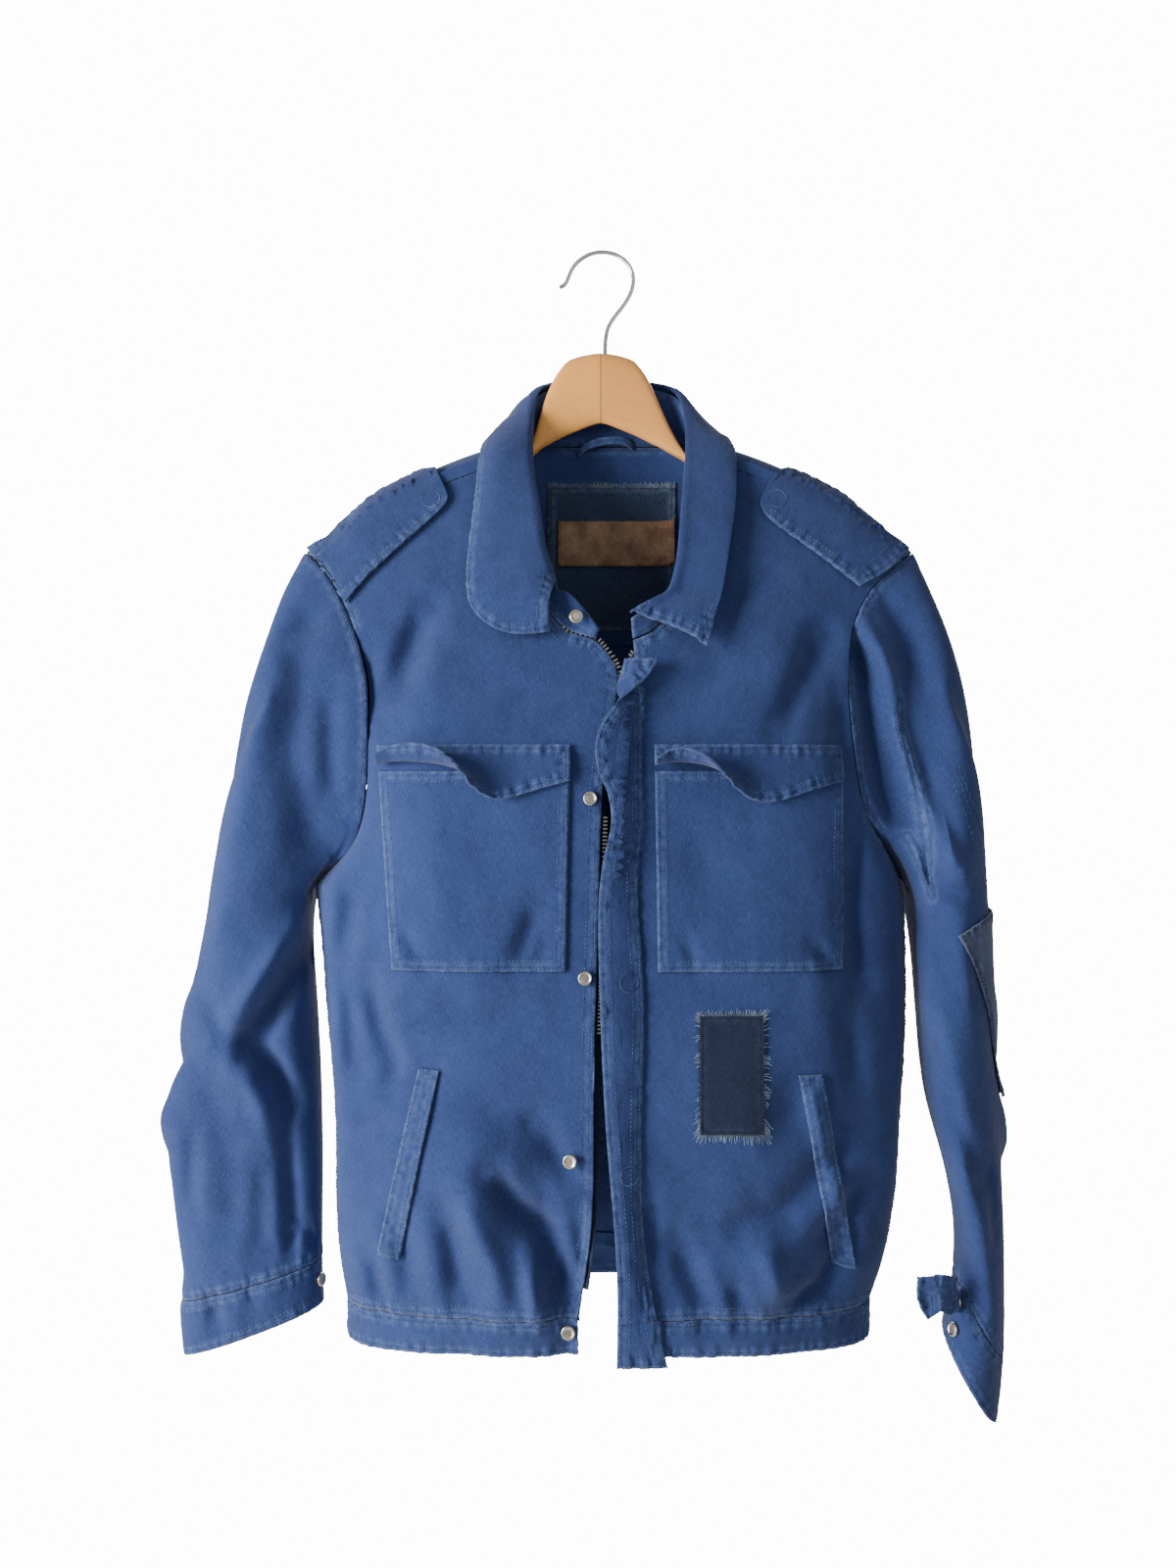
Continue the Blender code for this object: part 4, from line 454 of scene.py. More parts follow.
def rim_loops(bm, away):
    """The outer edge lines of a cloth piece: places, inward directions and facings along each."""
    held = bm.edges.layers.float["crease_edge"]
    bm.verts.index_update()
    steps = {}
    for edge in bm.edges:
        if edge[held] < 0.5 or len(edge.link_faces) != 2:
            continue
        skin = max(edge.link_faces, key=lambda f: f.calc_area() / max(e.calc_length() for e in f.edges))
        if skin.calc_area() / max(e.calc_length() for e in skin.edges) < 0.0026:
            continue
        middle = (edge.verts[0].co + edge.verts[1].co) / 2
        if skin.normal.dot(away(middle)) < 0:
            continue
        run = (edge.verts[1].co - edge.verts[0].co).normalized()
        inward = skin.calc_center_median() - middle
        inward -= run * inward.dot(run)
        first, second = edge.verts
        for a, b in ((first, second), (second, first)):
            steps.setdefault(a, []).append((b, inward.normalized(), skin.normal.copy()))
    loops, seen = [], set()
    for start in sorted(steps, key=lambda v: (len(steps[v]), v.index)):
        if start in seen:
            continue
        walk, here = [], start
        while here is not None:
            seen.add(here)
            walk.append(here)
            here = next((b for b, _, _ in steps[here] if b not in seen), None)
        if len(walk) < 4:
            continue
        closed = any(b is start for b, _, _ in steps[walk[-1]])
        places = [v.co.copy() for v in walk]
        inward, facing = [], []
        for v in walk:
            total = sum((way for _, way, _ in steps[v]), Vector())
            size = total.length
            inward.append(total / size * min(1.6, 2 / size * len(steps[v]) / 2) if size > 0.3 else total)
            facing.append(sum((n for _, _, n in steps[v]), Vector()).normalized())
        loops.append((places, inward, facing, closed))
    return loops


def spread(loop, pitch):
    """The loop with places every few millimetres: place, inward, facing and way along it."""
    places, inward, facing, closed = loop
    count = len(places)
    rows, way = [], 0.0
    for i in range(count if closed else count - 1):
        j = (i + 1) % count
        length = (places[j] - places[i]).length
        cuts = max(1, round(length / pitch))
        for k in range(cuts):
            t = k / cuts
            rows.append((places[i].lerp(places[j], t), inward[i].lerp(inward[j], t),
                         facing[i].lerp(facing[j], t), way + length * t))
        way += length
    return rows


def twill(name, base, faded, worn, weave=0.00095, edge_wear=0.75):
    """Cotton twill: slanting ribs, uneven dye, ridges of the folds paler from wear, painted shade in the fold
    troughs and in a line beside the edges, and pale worn edges.
    """
    f = Finish(name)
    uv = f.node("ShaderNodeUVMap", uv_map="cut").outputs["UV"]
    place = f.node("ShaderNodeTexCoord").outputs["Object"]
    edge = f.node("ShaderNodeAttribute", attribute_name="edge").outputs["Fac"]
    fold = f.node("ShaderNodeAttribute", attribute_name="fold").outputs["Fac"]
    ribs = f.node("ShaderNodeTexWave", {"Vector": uv, "Scale": 0.628 / weave, "Distortion": 0.6,
                                        "Detail": 1.0, "Detail Scale": 2.0},
                  wave_type="BANDS", bands_direction="DIAGONAL").outputs["Fac"]
    warp = f.noise(f.stretched(uv, (2600, 260, 1)), 1.0, 2.0)
    slub = f.noise(f.stretched(uv, (420, 5200, 1)), 1.0, 1.0)
    cloud = f.noise(place, 7.0, 4.0, 0.6)
    mottle = f.noise(place, 60.0, 5.0, 0.65)
    grit = f.noise(place, 520.0, 3.0, 0.6)
    uneven = f.value("ADD", f.value("MULTIPLY", cloud, 0.6), f.value("MULTIPLY", mottle, 0.4))
    washed = f.ramp(uneven, 0.36, 0.64)
    # Ridges of the folds are paler from wear; the troughs are darkened as painted shade.
    fold_wear_and_shade = f.ramp(fold, -0.0045, 0.0045, 0.34, -0.30)
    dye_wear_and_fold_shade = f.blend(f.value("ADD", washed, fold_wear_and_shade), base, faded)
    threads = f.value("ADD", f.value("MULTIPLY", warp, 0.6), f.value("MULTIPLY", slub, 0.4))
    flecked = f.blend(f.ramp(threads, 0.42, 0.68, 0.0, 0.26), dye_wear_and_fold_shade, worn)
    ribbed = f.blend(f.value("MULTIPLY", ribs, 0.16), flecked, base)
    rim = f.ramp(edge, 0.0003, 0.0026, 1.0, 0.0)
    band = f.value("MULTIPLY", f.ramp(edge, 0.0045, 0.0085, 1.0, 0.0), 0.42)
    rub = f.ramp(f.noise(place, 210.0, 3.0, 0.7), 0.34, 0.62)
    worn_share = f.value("MULTIPLY", f.value("MULTIPLY", f.value("MAXIMUM", rim, band), rub), edge_wear)
    # A dark line 3.4 mm in from each edge is painted shade of a stitching groove that is not shaped.
    painted_groove_shade = f.ramp(f.value("ABSOLUTE", f.value("SUBTRACT", edge, 0.0034)), 0.0003, 0.0011, 0.42, 0.0)
    colour = f.blend(painted_groove_shade, f.blend(worn_share, ribbed, worn), base)
    woven = f.value("ADD", f.value("MULTIPLY", ribs, 0.7), f.value("MULTIPLY", grit, 0.5))
    weave_bump = f.bump(woven, 0.00012, 0.55)
    crumple = f.bump(f.noise(place, 48.0, 5.0, 0.58), 0.0030, 0.6, weave_bump)
    return f.wear(Base_Color=colour, Roughness=0.92, Specular_IOR_Level=0.22, Sheen_Weight=0.16,
                  Sheen_Roughness=0.5, Normal=crumple)


blue_twill = twill("blue_twill", (0.0125, 0.0275, 0.118, 1), (0.026, 0.051, 0.180, 1),
                   (0.125, 0.190, 0.390, 1))

STITCH_LENGTH, STITCH_PITCH, THREAD = 0.0021, 0.0030, 0.00033


def stitch_tree():
    """Lays a short thread at even steps along every line of a mesh of edges."""
    tree = bpy.data.node_groups.new("running_stitch", "GeometryNodeTree")
    for name, kind in (("Lines", "Geometry"), ("Pitch", "Float"), ("Stitch Length", "Float"),
                       ("Thread Radius", "Float"), ("Thread", "Material")):
        tree.interface.new_socket(name, in_out="INPUT", socket_type="NodeSocket" + kind)
    tree.interface.new_socket("Stitches", in_out="OUTPUT", socket_type="NodeSocketGeometry")
    new, join = tree.nodes.new, tree.links.new
    given, result = new("NodeGroupInput"), new("NodeGroupOutput")
    curve, points = new("GeometryNodeMeshToCurve"), new("GeometryNodeCurveToPoints")
    points.mode = "LENGTH"
    ball, size = new("GeometryNodeMeshUVSphere"), new("ShaderNodeCombineXYZ")
    ball.inputs["Segments"].default_value = 4
    ball.inputs["Rings"].default_value = 3
    ball.inputs["Radius"].default_value = 1.0
    half = new("ShaderNodeMath")
    half.operation = "MULTIPLY"
    half.inputs[1].default_value = 0.5
    shape, turn = new("GeometryNodeTransform"), new("FunctionNodeAlignRotationToVector")
    turn.axis = "Z"
    lay, real = new("GeometryNodeInstanceOnPoints"), new("GeometryNodeRealizeInstances")
    paint = new("GeometryNodeSetMaterial")
    for out, into in ((given.outputs["Lines"], curve.inputs["Mesh"]),
                      (curve.outputs["Curve"], points.inputs["Curve"]),
                      (given.outputs["Pitch"], points.inputs["Length"]),
                      (given.outputs["Stitch Length"], half.inputs[0]),
                      (given.outputs["Thread Radius"], size.inputs["X"]),
                      (given.outputs["Thread Radius"], size.inputs["Y"]),
                      (half.outputs[0], size.inputs["Z"]),
                      (ball.outputs["Mesh"], shape.inputs["Geometry"]),
                      (size.outputs[0], shape.inputs["Scale"]),
                      (points.outputs["Tangent"], turn.inputs["Vector"]),
                      (points.outputs["Points"], lay.inputs["Points"]),
                      (shape.outputs[0], lay.inputs["Instance"]),
                      (turn.outputs[0], lay.inputs["Rotation"]),
                      (lay.outputs[0], real.inputs[0]),
                      (real.outputs[0], paint.inputs["Geometry"]),
                      (given.outputs["Thread"], paint.inputs["Material"]),
                      (paint.outputs[0], result.inputs["Stitches"])):
        join(out, into)
    return tree


RUNNING_STITCH = stitch_tree()


def cotton_thread(name, dark, light):
    f = Finish(name)
    place = f.node("ShaderNodeTexCoord").outputs["Object"]
    share = f.ramp(f.noise(place, 70.0, 3.0, 0.7), 0.40, 0.62)
    twist = f.node("ShaderNodeTexWave", {"Vector": place, "Scale": 900.0},
                   bands_direction="DIAGONAL").outputs["Fac"]
    return f.wear(Base_Color=f.blend(share, dark, light), Roughness=0.7, Normal=f.bump(twist, 0.0001, 0.4))


blue_thread = cotton_thread("blue_thread", (0.018, 0.038, 0.140, 1), (0.100, 0.165, 0.340, 1))


def sew(name, lines, thread, slot="twill", pitch=STITCH_PITCH, length=STITCH_LENGTH, radius=THREAD):
    """Real stitches along lines of places that lie on the cloth."""
    places, edges = [], []
    for line in lines:
        first = len(places)
        places += line
        edges += [(first + i, first + i + 1) for i in range(len(line) - 1)]
    mesh = bpy.data.meshes.new(name + "_lines")
    mesh.from_pydata(places, edges, [])
    guide = bpy.data.objects.new(name + "_lines", mesh)
    bpy.context.scene.collection.objects.link(guide)
    stitches = guide.modifiers.new("stitches", "NODES")
    stitches.node_group = RUNNING_STITCH
    ids = {item.name: item.identifier for item in RUNNING_STITCH.interface.items_tree}
    stitches[ids["Pitch"]] = pitch
    stitches[ids["Stitch Length"]] = length
    stitches[ids["Thread Radius"]] = radius
    stitches[ids["Thread"]] = thread
    made = bpy.data.meshes.new_from_object(guide.evaluated_get(bpy.context.evaluated_depsgraph_get()))
    bpy.data.objects.remove(guide)
    made.name = name
    made.shade_smooth()
    return add_piece(name, made, thread, slot)


def on_folds(places, sleeve=0):
    """Where these places of the cloth lie once it is folded."""
    return [Vector(place) for place in folded(np.array(places), sleeve)[0]]


def laid_lines(loops, insets, surface, sleeve=0):
    """Lines set in from the edges of a piece and dropped on to its folded surface."""
    lines = []
    for loop in loops:
        rows = spread(loop, 0.004)
        for inset in insets:
            line = []
            for spot, row in zip(on_folds([row[0] + row[1] * inset for row in rows], sleeve), rows):
                hit, normal, _, _ = surface.ray_cast(spot + row[2] * 0.006, -row[2], 0.014)
                if hit:
                    line.append(hit + normal * 0.00008)
                else:
                    lines.append(line)
                    line = []
            lines.append(line)
    return [line for line in lines if len(line) > 2]


def surface_of(mesh):
    """The mesh as a surface that places can be dropped on."""
    corners = [v.co.copy() for v in mesh.vertices]
    return BVHTree.FromPolygons(corners, [tuple(p.vertices) for p in mesh.polygons])


def clear_of(mesh, base, gap, wall, away):
    """Lifts a piece that lies on another one until it is clear of it all over."""
    mesh.update()
    for v in mesh.vertices:
        hit, normal, _, _ = base.find_nearest(v.co, 0.012)
        if hit is None:
            continue
        if normal.dot(away(v.co)) < 0:
            normal = -normal
        outer = 0.5 + 0.5 * max(-1.0, min(1.0, v.normal.dot(normal)))
        short = gap + wall * outer - (v.co - hit).dot(normal)
        if short > 0:
            v.co += normal * short


sewn = {}


def cloth(node, away, flat, area, rests_on, levels=3, sleeve=0, material=None, slot="twill",
          pucker=0.00055, over=None, wall=0.0016, held="hung", bend=True, droop=0.0):
    """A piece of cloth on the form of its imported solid. Gives its surface and the lines of its edges."""
    bm = soft_quads(node)
    loops = rim_loops(bm, away)
    mesh = divided(bm, node + "_cloth", levels)
    bm.free()
    count = len(mesh.vertices)
    points = np.empty(count * 3)
    mesh.vertices.foreach_get("co", points)
    points = points.reshape(-1, 3)
    flat_points = points.copy()
    fold = np.zeros(count)
    if bend:
        points, fold = folded(points, sleeve)
    if droop:
        points[:, 2] -= droop * smooth_step(0.178, 0.215, np.abs(points[:, 0] - 0.006))
    rows = [row for loop in loops for row in spread(loop, 0.003)]
    tree = kdtree.KDTree(len(rows))
    for i, row in enumerate(rows):
        tree.insert(row[0], i)
    tree.balance()
    edge = np.empty(count)
    for i, place in enumerate(flat_points):
        _, near, gap = tree.find(place)
        row = rows[near]
        edge[i] = gap
        if gap < 0.016 and pucker:
            way = row[3] * 2 * math.pi
            lift = math.sin(way / 0.0085 + 1.4 * math.sin(way / 0.047)) + 0.5 * math.sin(way / 0.0137)
            points[i] += np.array(row[2]) * (pucker * lift * math.exp(-((gap - 0.0045) / 0.0045) ** 2))
    mesh.vertices.foreach_set("co", points.ravel())
    if over:
        clear_of(mesh, over, 0.0003, wall, away)
    mesh.update()
    for key, values in (("edge", edge), ("fold", fold)):
        layer = mesh.attributes.new(key, "FLOAT", "POINT")
        layer.data.foreach_set("value", values)
    uv = mesh.uv_layers.new(name="cut")
    corner = np.empty(len(mesh.loops), dtype=int)
    mesh.loops.foreach_get("vertex_index", corner)
    x, y, z = flat_points[corner].T
    turned = np.where(y > -0.04, -0.9, 0.9) * np.sign(x - (arm_middle(sleeve, z) if sleeve else 0.006))
    uv.data.foreach_set("uv", np.column_stack((x + turned * y, z)).ravel())
    piece = add_piece(mesh.name, mesh, material or blue_twill, slot, node)
    surface = surface_of(mesh)
    sewn[node] = (surface, loops)
    return surface, loops


def topstitched(node, seam, insets, away, flat, area, rests_on, **making):
    """A piece of cloth with rows of topstitching this far in from its edges. Gives its surface."""
    surface, loops = cloth(node, away, flat, area, rests_on, **making)
    sew(seam, laid_lines(loops, insets, surface, making.get("sleeve", 0)), blue_thread)
    return surface


def from_body(place):
    return Vector((place.x - 0.006, place.y + 0.045, 0))


def to_front(place):
    return Vector((0, -1, 0))


ARMPIT_Z = -0.470


def seam_allowance(first, second, sleeve=0, reach=0.016):
    """The turned-in cloth behind a seam, wherever the second piece starts beside the first one's edge."""
    verts, faces = [], []
    neighbour = sewn[second][0]
    lowest = ARMPIT_Z if second.startswith("sleeve") else -1.0
    for loop in sewn[first][1]:
        rows = [row for row in spread(loop, 0.004) if row[0].z > lowest]
        if not rows:
            continue
        edges = on_folds([row[0] for row in rows], sleeve)
        insides = on_folds([row[0] + row[1] * 0.006 for row in rows], sleeve)
        linked, last = False, None
        for edge, inside, (_, inward, facing, _) in zip(edges, insides, rows):
            hit = neighbour.find_nearest(edge - inward * 0.004 - facing * 0.001, reach)[0]
            if hit is None:
                linked = False
                continue
            verts += [inside - facing * 0.0026, edge - facing * 0.0026, hit - facing * 0.0030]
            here = len(verts) - 3
            if linked and (edge - last).length < 0.009:
                faces += [(here - 3, here - 2, here + 1, here), (here - 2, here - 1, here + 2, here + 1)]
            linked, last = True, edge
    if not faces:
        return
    mesh = bpy.data.meshes.new("seam_%s_to_%s" % (first, second))
    mesh.from_pydata(verts, [], faces)
    for key, value in (("edge", 0.02), ("fold", 0.0)):
        layer = mesh.attributes.new(key, "FLOAT", "POINT")
        layer.data.foreach_set("value", np.full(len(verts), value))
    mesh.shade_smooth()
    piece = add_piece(mesh.name, mesh, blue_twill, "twill")


fronts = {}
for side, which in ((-1, "front_right"), (1, "front_left")):
    fronts[side] = topstitched(which, which + "_topstitch", (0.0022, 0.0085), from_body, (0.30, 0.66), 0.125,
                               ["back_yoke", "hanger_wood"])
topstitched("back", "back_topstitch", (0.0022,), from_body, (0.52, 0.52), 0.218, ["back_yoke"], levels=2,
            pucker=0.0003)
topstitched("back_yoke", "yoke_topstitch", (0.0022, 0.0085), lambda p: Vector((0, p.y + 0.018, p.z + 0.26)),
            (0.50, 0.22), 0.068, ["hanger_wood"], levels=2)


# Hem band: a doubled strip of the same twill, gathered a little and sewn under the body with one
# row of topstitching, in two fronts and a back.
for node, flat, area, levels in (("hem_band_right", (0.25, 0.03), 0.0060, 3),
                                 ("hem_band_left", (0.25, 0.03), 0.0062, 3),
                                 ("hem_band_back", (0.48, 0.03), 0.0125, 2)):
    topstitched(node, node + "_topstitch", (0.0025,), from_body, flat, area,
                ["front_left", "front_right", "back"], levels=levels, pucker=0.0007, wall=0.0020)


# Sleeves: one-piece tubes of the same twill, set into the armholes with a felled seam and stitched
# round. Each ends in a doubled cuff, and the left one has a loose tab.
def from_arm(side):
    def away(place):
        return Vector((place.x - float(arm_middle(side, place.z)), place.y + 0.037, 0))
    return away


sleeves = {}
for side, which in ((-1, "right"), (1, "left")):
    sleeves[side] = topstitched("sleeve_" + which, "sleeve_%s_topstitch" % which, (0.0024,), from_arm(side),
                                (0.42, 0.60), 0.144, ["front_" + which, "back_yoke"], sleeve=side)
    topstitched("cuff_" + which, "cuff_%s_topstitch" % which, (0.0022, 0.0075), from_arm(side), (0.30, 0.055),
                0.0108, ["sleeve_" + which], sleeve=side, pucker=0.0004, wall=0.0020)
# Behind each seam the cut edges lie felled together.
for first, seconds, arm in (("front_right", ("sleeve_right", "back_yoke", "back", "hem_band_right"), 0),
                            ("front_left", ("sleeve_left", "back_yoke", "back", "hem_band_left"), 0),
                            ("back", ("sleeve_right", "sleeve_left", "back_yoke", "hem_band_back"), 0),
                            ("back_yoke", ("sleeve_right", "sleeve_left"), 0),
                            ("sleeve_right", ("cuff_right",), -1), ("sleeve_left", ("cuff_left",), 1)):
    for second in seconds:
        seam_allowance(first, second, arm)
topstitched("cuff_tab_left", "cuff_tab_topstitch", (0.003,), lambda p: Vector((-0.3, -1, 0)), (0.045, 0.032),
            0.0011, ["cuff_left"], sleeve=1, bend=False, wall=0.0020)
seam_allowance("cuff_tab_left", "cuff_left", 1)


# Elbow patch: a smoother dull blue offcut over a worn place, overcast by hand in dark thread. Above it
# a torn place is darned with short rows of lighter thread that run down the sleeve.
slate_cloth = twill("slate_cloth", (0.050, 0.066, 0.140, 1), (0.080, 0.105, 0.190, 1),
                    (0.140, 0.190, 0.300, 1), weave=0.0006, edge_wear=0.35)
dark_thread = cotton_thread("dark_thread", (0.008, 0.014, 0.034, 1), (0.020, 0.034, 0.075, 1))
surface, loops = cloth("elbow_patch", from_arm(1), (0.14, 0.15), 0.0165, ["sleeve_left"], sleeve=1,
                       material=slate_cloth, slot="slate", over=sleeves[1], wall=0.0012, held="laid")
sew("elbow_overcast", laid_lines(loops, (0.0014, 0.0030), surface, 1), dark_thread, "slate", radius=0.0004)
# Each row from x and z to x and z.
DARN = ((0.2560, -0.4010, 0.2840, -0.4880), (0.2590, -0.4010, 0.2870, -0.4800),
        (0.2540, -0.4100, 0.2800, -0.4930), (0.2625, -0.4120, 0.2850, -0.4700))
darning = []
for x0, z0, x1, z1 in DARN:
    row = []
    for t in np.linspace(0, 1, 30):
        start = Vector((x0 + (x1 - x0) * t + 0.0006 * math.sin(t * 40), -0.20, z0 + (z1 - z0) * t))
        hit, normal, _, _ = sleeves[1].ray_cast(start, Vector((0, 1, 0)), 0.3)
        if hit:
            row.append(hit + normal * 0.0001)
    if len(row) > 3:
        darning.append(row)
sew("sleeve_darning", darning, blue_thread, pitch=0.0044, length=0.0030)


# Collar: a stand along the neckline and a leaf that folds over it, both of doubled twill, with two
# rows of topstitching that have drawn the edge into small ropes.
def from_neck(place):
    return Vector((place.x - 0.006, place.y + 0.012, 0))


cloth("collar_stand", from_neck, (0.44, 0.045), 0.0151, ["front_left", "front_right", "back_yoke"], levels=2,
      bend=False, pucker=0.0004, wall=0.0020)
topstitched("collar_leaf", "collar_topstitch", (0.0022, 0.0082), from_neck, (0.46, 0.09), 0.0323,
            ["collar_stand"], pucker=0.0009, bend=False, wall=0.0020)


# Chest and side pockets: flat patches with turned edges, sewn down twice, each with a flap whose free
# inner corner has curled up with washing. Below them a narrow folded welt on a slant covers each
# side pocket's opening.
for side, which in ((-1, "right"), (1, "left")):
    front = "front_" + which
    topstitched("pocket_" + which, "pocket_%s_topstitch" % which, (0.0018, 0.0075), to_front, (0.145, 0.150),
                0.0200, [front], over=fronts[side], held="laid", pucker=0.0004)
    topstitched("pocket_flap_" + which, "flap_%s_topstitch" % which, (0.0018, 0.0070), to_front,
                (0.145, 0.043), 0.0056, ["pocket_" + which], over=fronts[side], pucker=0.0008)
    topstitched("welt_" + which, "welt_%s_topstitch" % which, (0.0016,), to_front, (0.017, 0.142), 0.0024,
                [front], over=fronts[side], held="laid", pucker=0.0005)


# Front patch: a dark piece of denim over a hole, sewn down with dark thread, its raw edges frayed
# most at the top and the bottom.
denim = twill("dark_denim", (0.0026, 0.0052, 0.021, 1), (0.0075, 0.0130, 0.042, 1),
              (0.055, 0.085, 0.170, 1), weave=0.0013, edge_wear=0.45)
surface, loops = cloth("front_patch", to_front, (0.048, 0.086), 0.0041, ["front_left"], material=denim,
                       slot="denim", over=fronts[1], wall=0.0011, held="laid", pucker=0.0003)
sew("patch_stitching", laid_lines(loops, (0.0022,), surface), dark_thread, "denim", pitch=0.0026)
fray = np.random.default_rng(21)
threads = []
for place, inward, facing, _ in spread(loops[0], 0.0012):
    thick = 1.0 if place.z < -0.655 or place.z > -0.585 else 0.35
    if fray.uniform() > thick:
        continue
    root = on_folds([place])[0] + facing * 0.0012
    bend = Vector(fray.uniform(-0.0012, 0.0012, 3))
    reach = fray.uniform(0.0012, 0.0038) * (1.5 if place.x > 0.098 and place.z < -0.65 else 1.0)
    threads.append([root + inward * 0.001, root - inward * reach * 0.5 + bend * 0.5,
                    root - inward * reach + bend + Vector((0, -0.0004, -0.0005))])
pale_fray = cotton_thread("pale_fray", (0.14, 0.22, 0.34, 1), (0.42, 0.52, 0.62, 1))
sew("patch_fray", threads, pale_fray, "denim", pitch=0.0006, length=0.0011, radius=0.00014)

# Fly placket: a folded strip of twill on the wearer's left front that covers the zip and has sprung
# forward, held by two rows of topstitching.
topstitched("fly_placket", "placket_topstitch", (0.0020, 0.0085), to_front, (0.045, 0.50), 0.0151,
            ["front_left"], over=fronts[1], pucker=0.0009)


# Zip: a dark woven tape sewn behind both front edges, with metal teeth clamped to its lip. At the top
# of the wearer's right front it bends away along the neckline.
tape_cloth = twill("zip_tape_cloth", (0.004, 0.010, 0.034, 1), (0.008, 0.018, 0.055, 1),
                   (0.03, 0.05, 0.11, 1), weave=0.0005, edge_wear=0.2)


def zip_metal():
    f = Finish("zip_metal")
    place = f.node("ShaderNodeTexCoord").outputs["Object"]
    dull = f.noise(place, 700.0, 2.0)
    colour = f.blend(dull, (0.42, 0.38, 0.30, 1), (0.66, 0.63, 0.56, 1))
    return f.wear(Base_Color=colour, Metallic=1.0, Roughness=f.ramp(dull, 0.3, 0.7, 0.28, 0.5))


TOOTH = (0.0030, 0.0016, 0.0013)     # across the tape, thick, and along it
TOOTH_STEP = 0.0027
TOOTH_CORNERS = ((1, -1, -1), (-1, -1, -1), (-1, 1, -1), (1, 1, -1),
                 (1, -1, 1), (-1, -1, 1), (-1, 1, 1), (1, 1, 1))
TOOTH_SIDES = ((0, 3, 2, 1), (4, 5, 6, 7), (0, 1, 5, 4), (2, 3, 7, 6), (1, 2, 6, 5), (0, 4, 7, 3))


def closed_mesh(name, verts, faces):
    mesh = bpy.data.meshes.new(name)
    mesh.from_pydata(verts, [], faces)
    bm = bmesh.new()
    bm.from_mesh(mesh)
    bmesh.ops.recalc_face_normals(bm, faces=bm.faces)
    bm.to_mesh(mesh)
    bm.free()
    return mesh


teeth_metal = zip_metal()
for side, which in ((-1, "right"), (1, "left")):
    _, loops = cloth("zip_tape_" + which, to_front, (0.016, 0.46), 0.0049, ["front_" + which], levels=2,
                     material=tape_cloth, slot="zip_tape", pucker=0, wall=0.0008)
    lip = [row for row in spread(loops[0], TOOTH_STEP / 3) if side * row[1].x > 0.6]
    lip.sort(key=lambda row: row[0].z)
    longest = max(sewn["front_right"][1], key=lambda made: len(made[0]))
    turned = [row for row in spread(longest, TOOTH_STEP / 3)
              if side < 0 and -0.030 < row[0].x < 0.022 and -0.350 < row[0].z < -0.296]
    verts, faces = [], []
    for rows, outward in ((lip, -0.0004), (turned, 0.0016)):
        last = None
        for place, inward, facing, _ in rows:
            if last is not None and (place - last).length < TOOTH_STEP:
                continue
            last = place
            centre = on_folds([place])[0] - facing * 0.0004 - inward * outward
            across = inward.normalized()
            along_tape = across.cross(facing).normalized()
            first = len(verts)
            for a, b, c in TOOTH_CORNERS:
                narrow = 0.7 if a < 0 else 1.0
                verts.append(centre + across * (a * TOOTH[0] / 2) + facing * (b * TOOTH[1] / 2)
                             + along_tape * (c * TOOTH[2] / 2 * narrow))
            faces += [tuple(first + k for k in quad) for quad in TOOTH_SIDES]
    add_piece("zip_teeth_" + which, closed_mesh("zip_teeth_" + which, verts, faces), teeth_metal, "metal")


# Epaulettes: doubled straps of twill, caught at the armhole seam and topstitched twice. The back parts
# of hidden snaps have worn through as faint rings on both, on one flap and on the placket.
for side, which in ((-1, "right"), (1, "left")):
    topstitched("epaulette_" + which, "epaulette_%s_topstitch" % which, (0.0020, 0.0075),
                lambda p: Vector((0, -1, 0.8)), (0.125, 0.062), 0.0070, ["back_yoke", "front_" + which],
                over=fronts[side], held="laid", pucker=0.0006, wall=0.0020, droop=0.008)


def ring_mark(node, x, z, radius):
    surface = sewn[node][0]
    line = []
    for k in range(49):
        turn = 2 * math.pi * k / 48
        start = Vector((x + radius * math.cos(turn), -0.25, z + radius * math.sin(turn)))
        hit = surface.ray_cast(start, Vector((0, 1, 0)), 0.4)[0]
        if hit:
            line.append(hit)
    if len(line) > 40:
        sew("%s_ring_%d" % (node, round(-z * 1000)), [line], blue_thread, pitch=0.0005, length=0.0013,
            radius=0.0004)


for node, x, z, radius in (("epaulette_right", -0.1290, -0.2010, 0.0070),
                           ("epaulette_left", 0.1330, -0.2010, 0.0070),
                           ("pocket_flap_left", 0.1090, -0.4170, 0.0062),
                           ("fly_placket", 0.0190, -0.5569, 0.0065),
                           ("fly_placket", 0.0190, -0.6900, 0.0065)):
    ring_mark(node, x, z, radius)


# Inside the neck: an old denim patch with a bleached, frayed top edge, a bare brown leather label
# that is caught down at both ends, and a narrow hanging loop of twill.
old_denim = twill("old_denim", (0.010, 0.020, 0.056, 1), (0.026, 0.046, 0.105, 1), (0.200, 0.280, 0.400, 1),
                  weave=0.0013, edge_wear=0.8)
lining_surface, _ = cloth("inside_patch", to_front, (0.104, 0.122), 0.0125, ["back_yoke"], levels=2,
                          material=old_denim, slot="denim", wall=0.0011, held="laid", pucker=0.0003)
INSIDE_LINES = ([(-0.040 + 0.001 * i, -0.1865) for i in range(98)],
                [(-0.040 + 0.001 * i, -0.2800) for i in range(98)],
                [(-0.0385, -0.190 - 0.001 * i) for i in range(88)],
                [(0.0560, -0.190 - 0.001 * i) for i in range(88)])


def on_lining(line, surface, lift=0.0001):
    found = []
    for x, z in line:
        hit = surface.ray_cast(Vector((x, -0.03, z)), Vector((0, 1, 0)), 0.1)[0]
        if hit:
            found.append(hit + Vector((0, -lift, 0)))
    return found


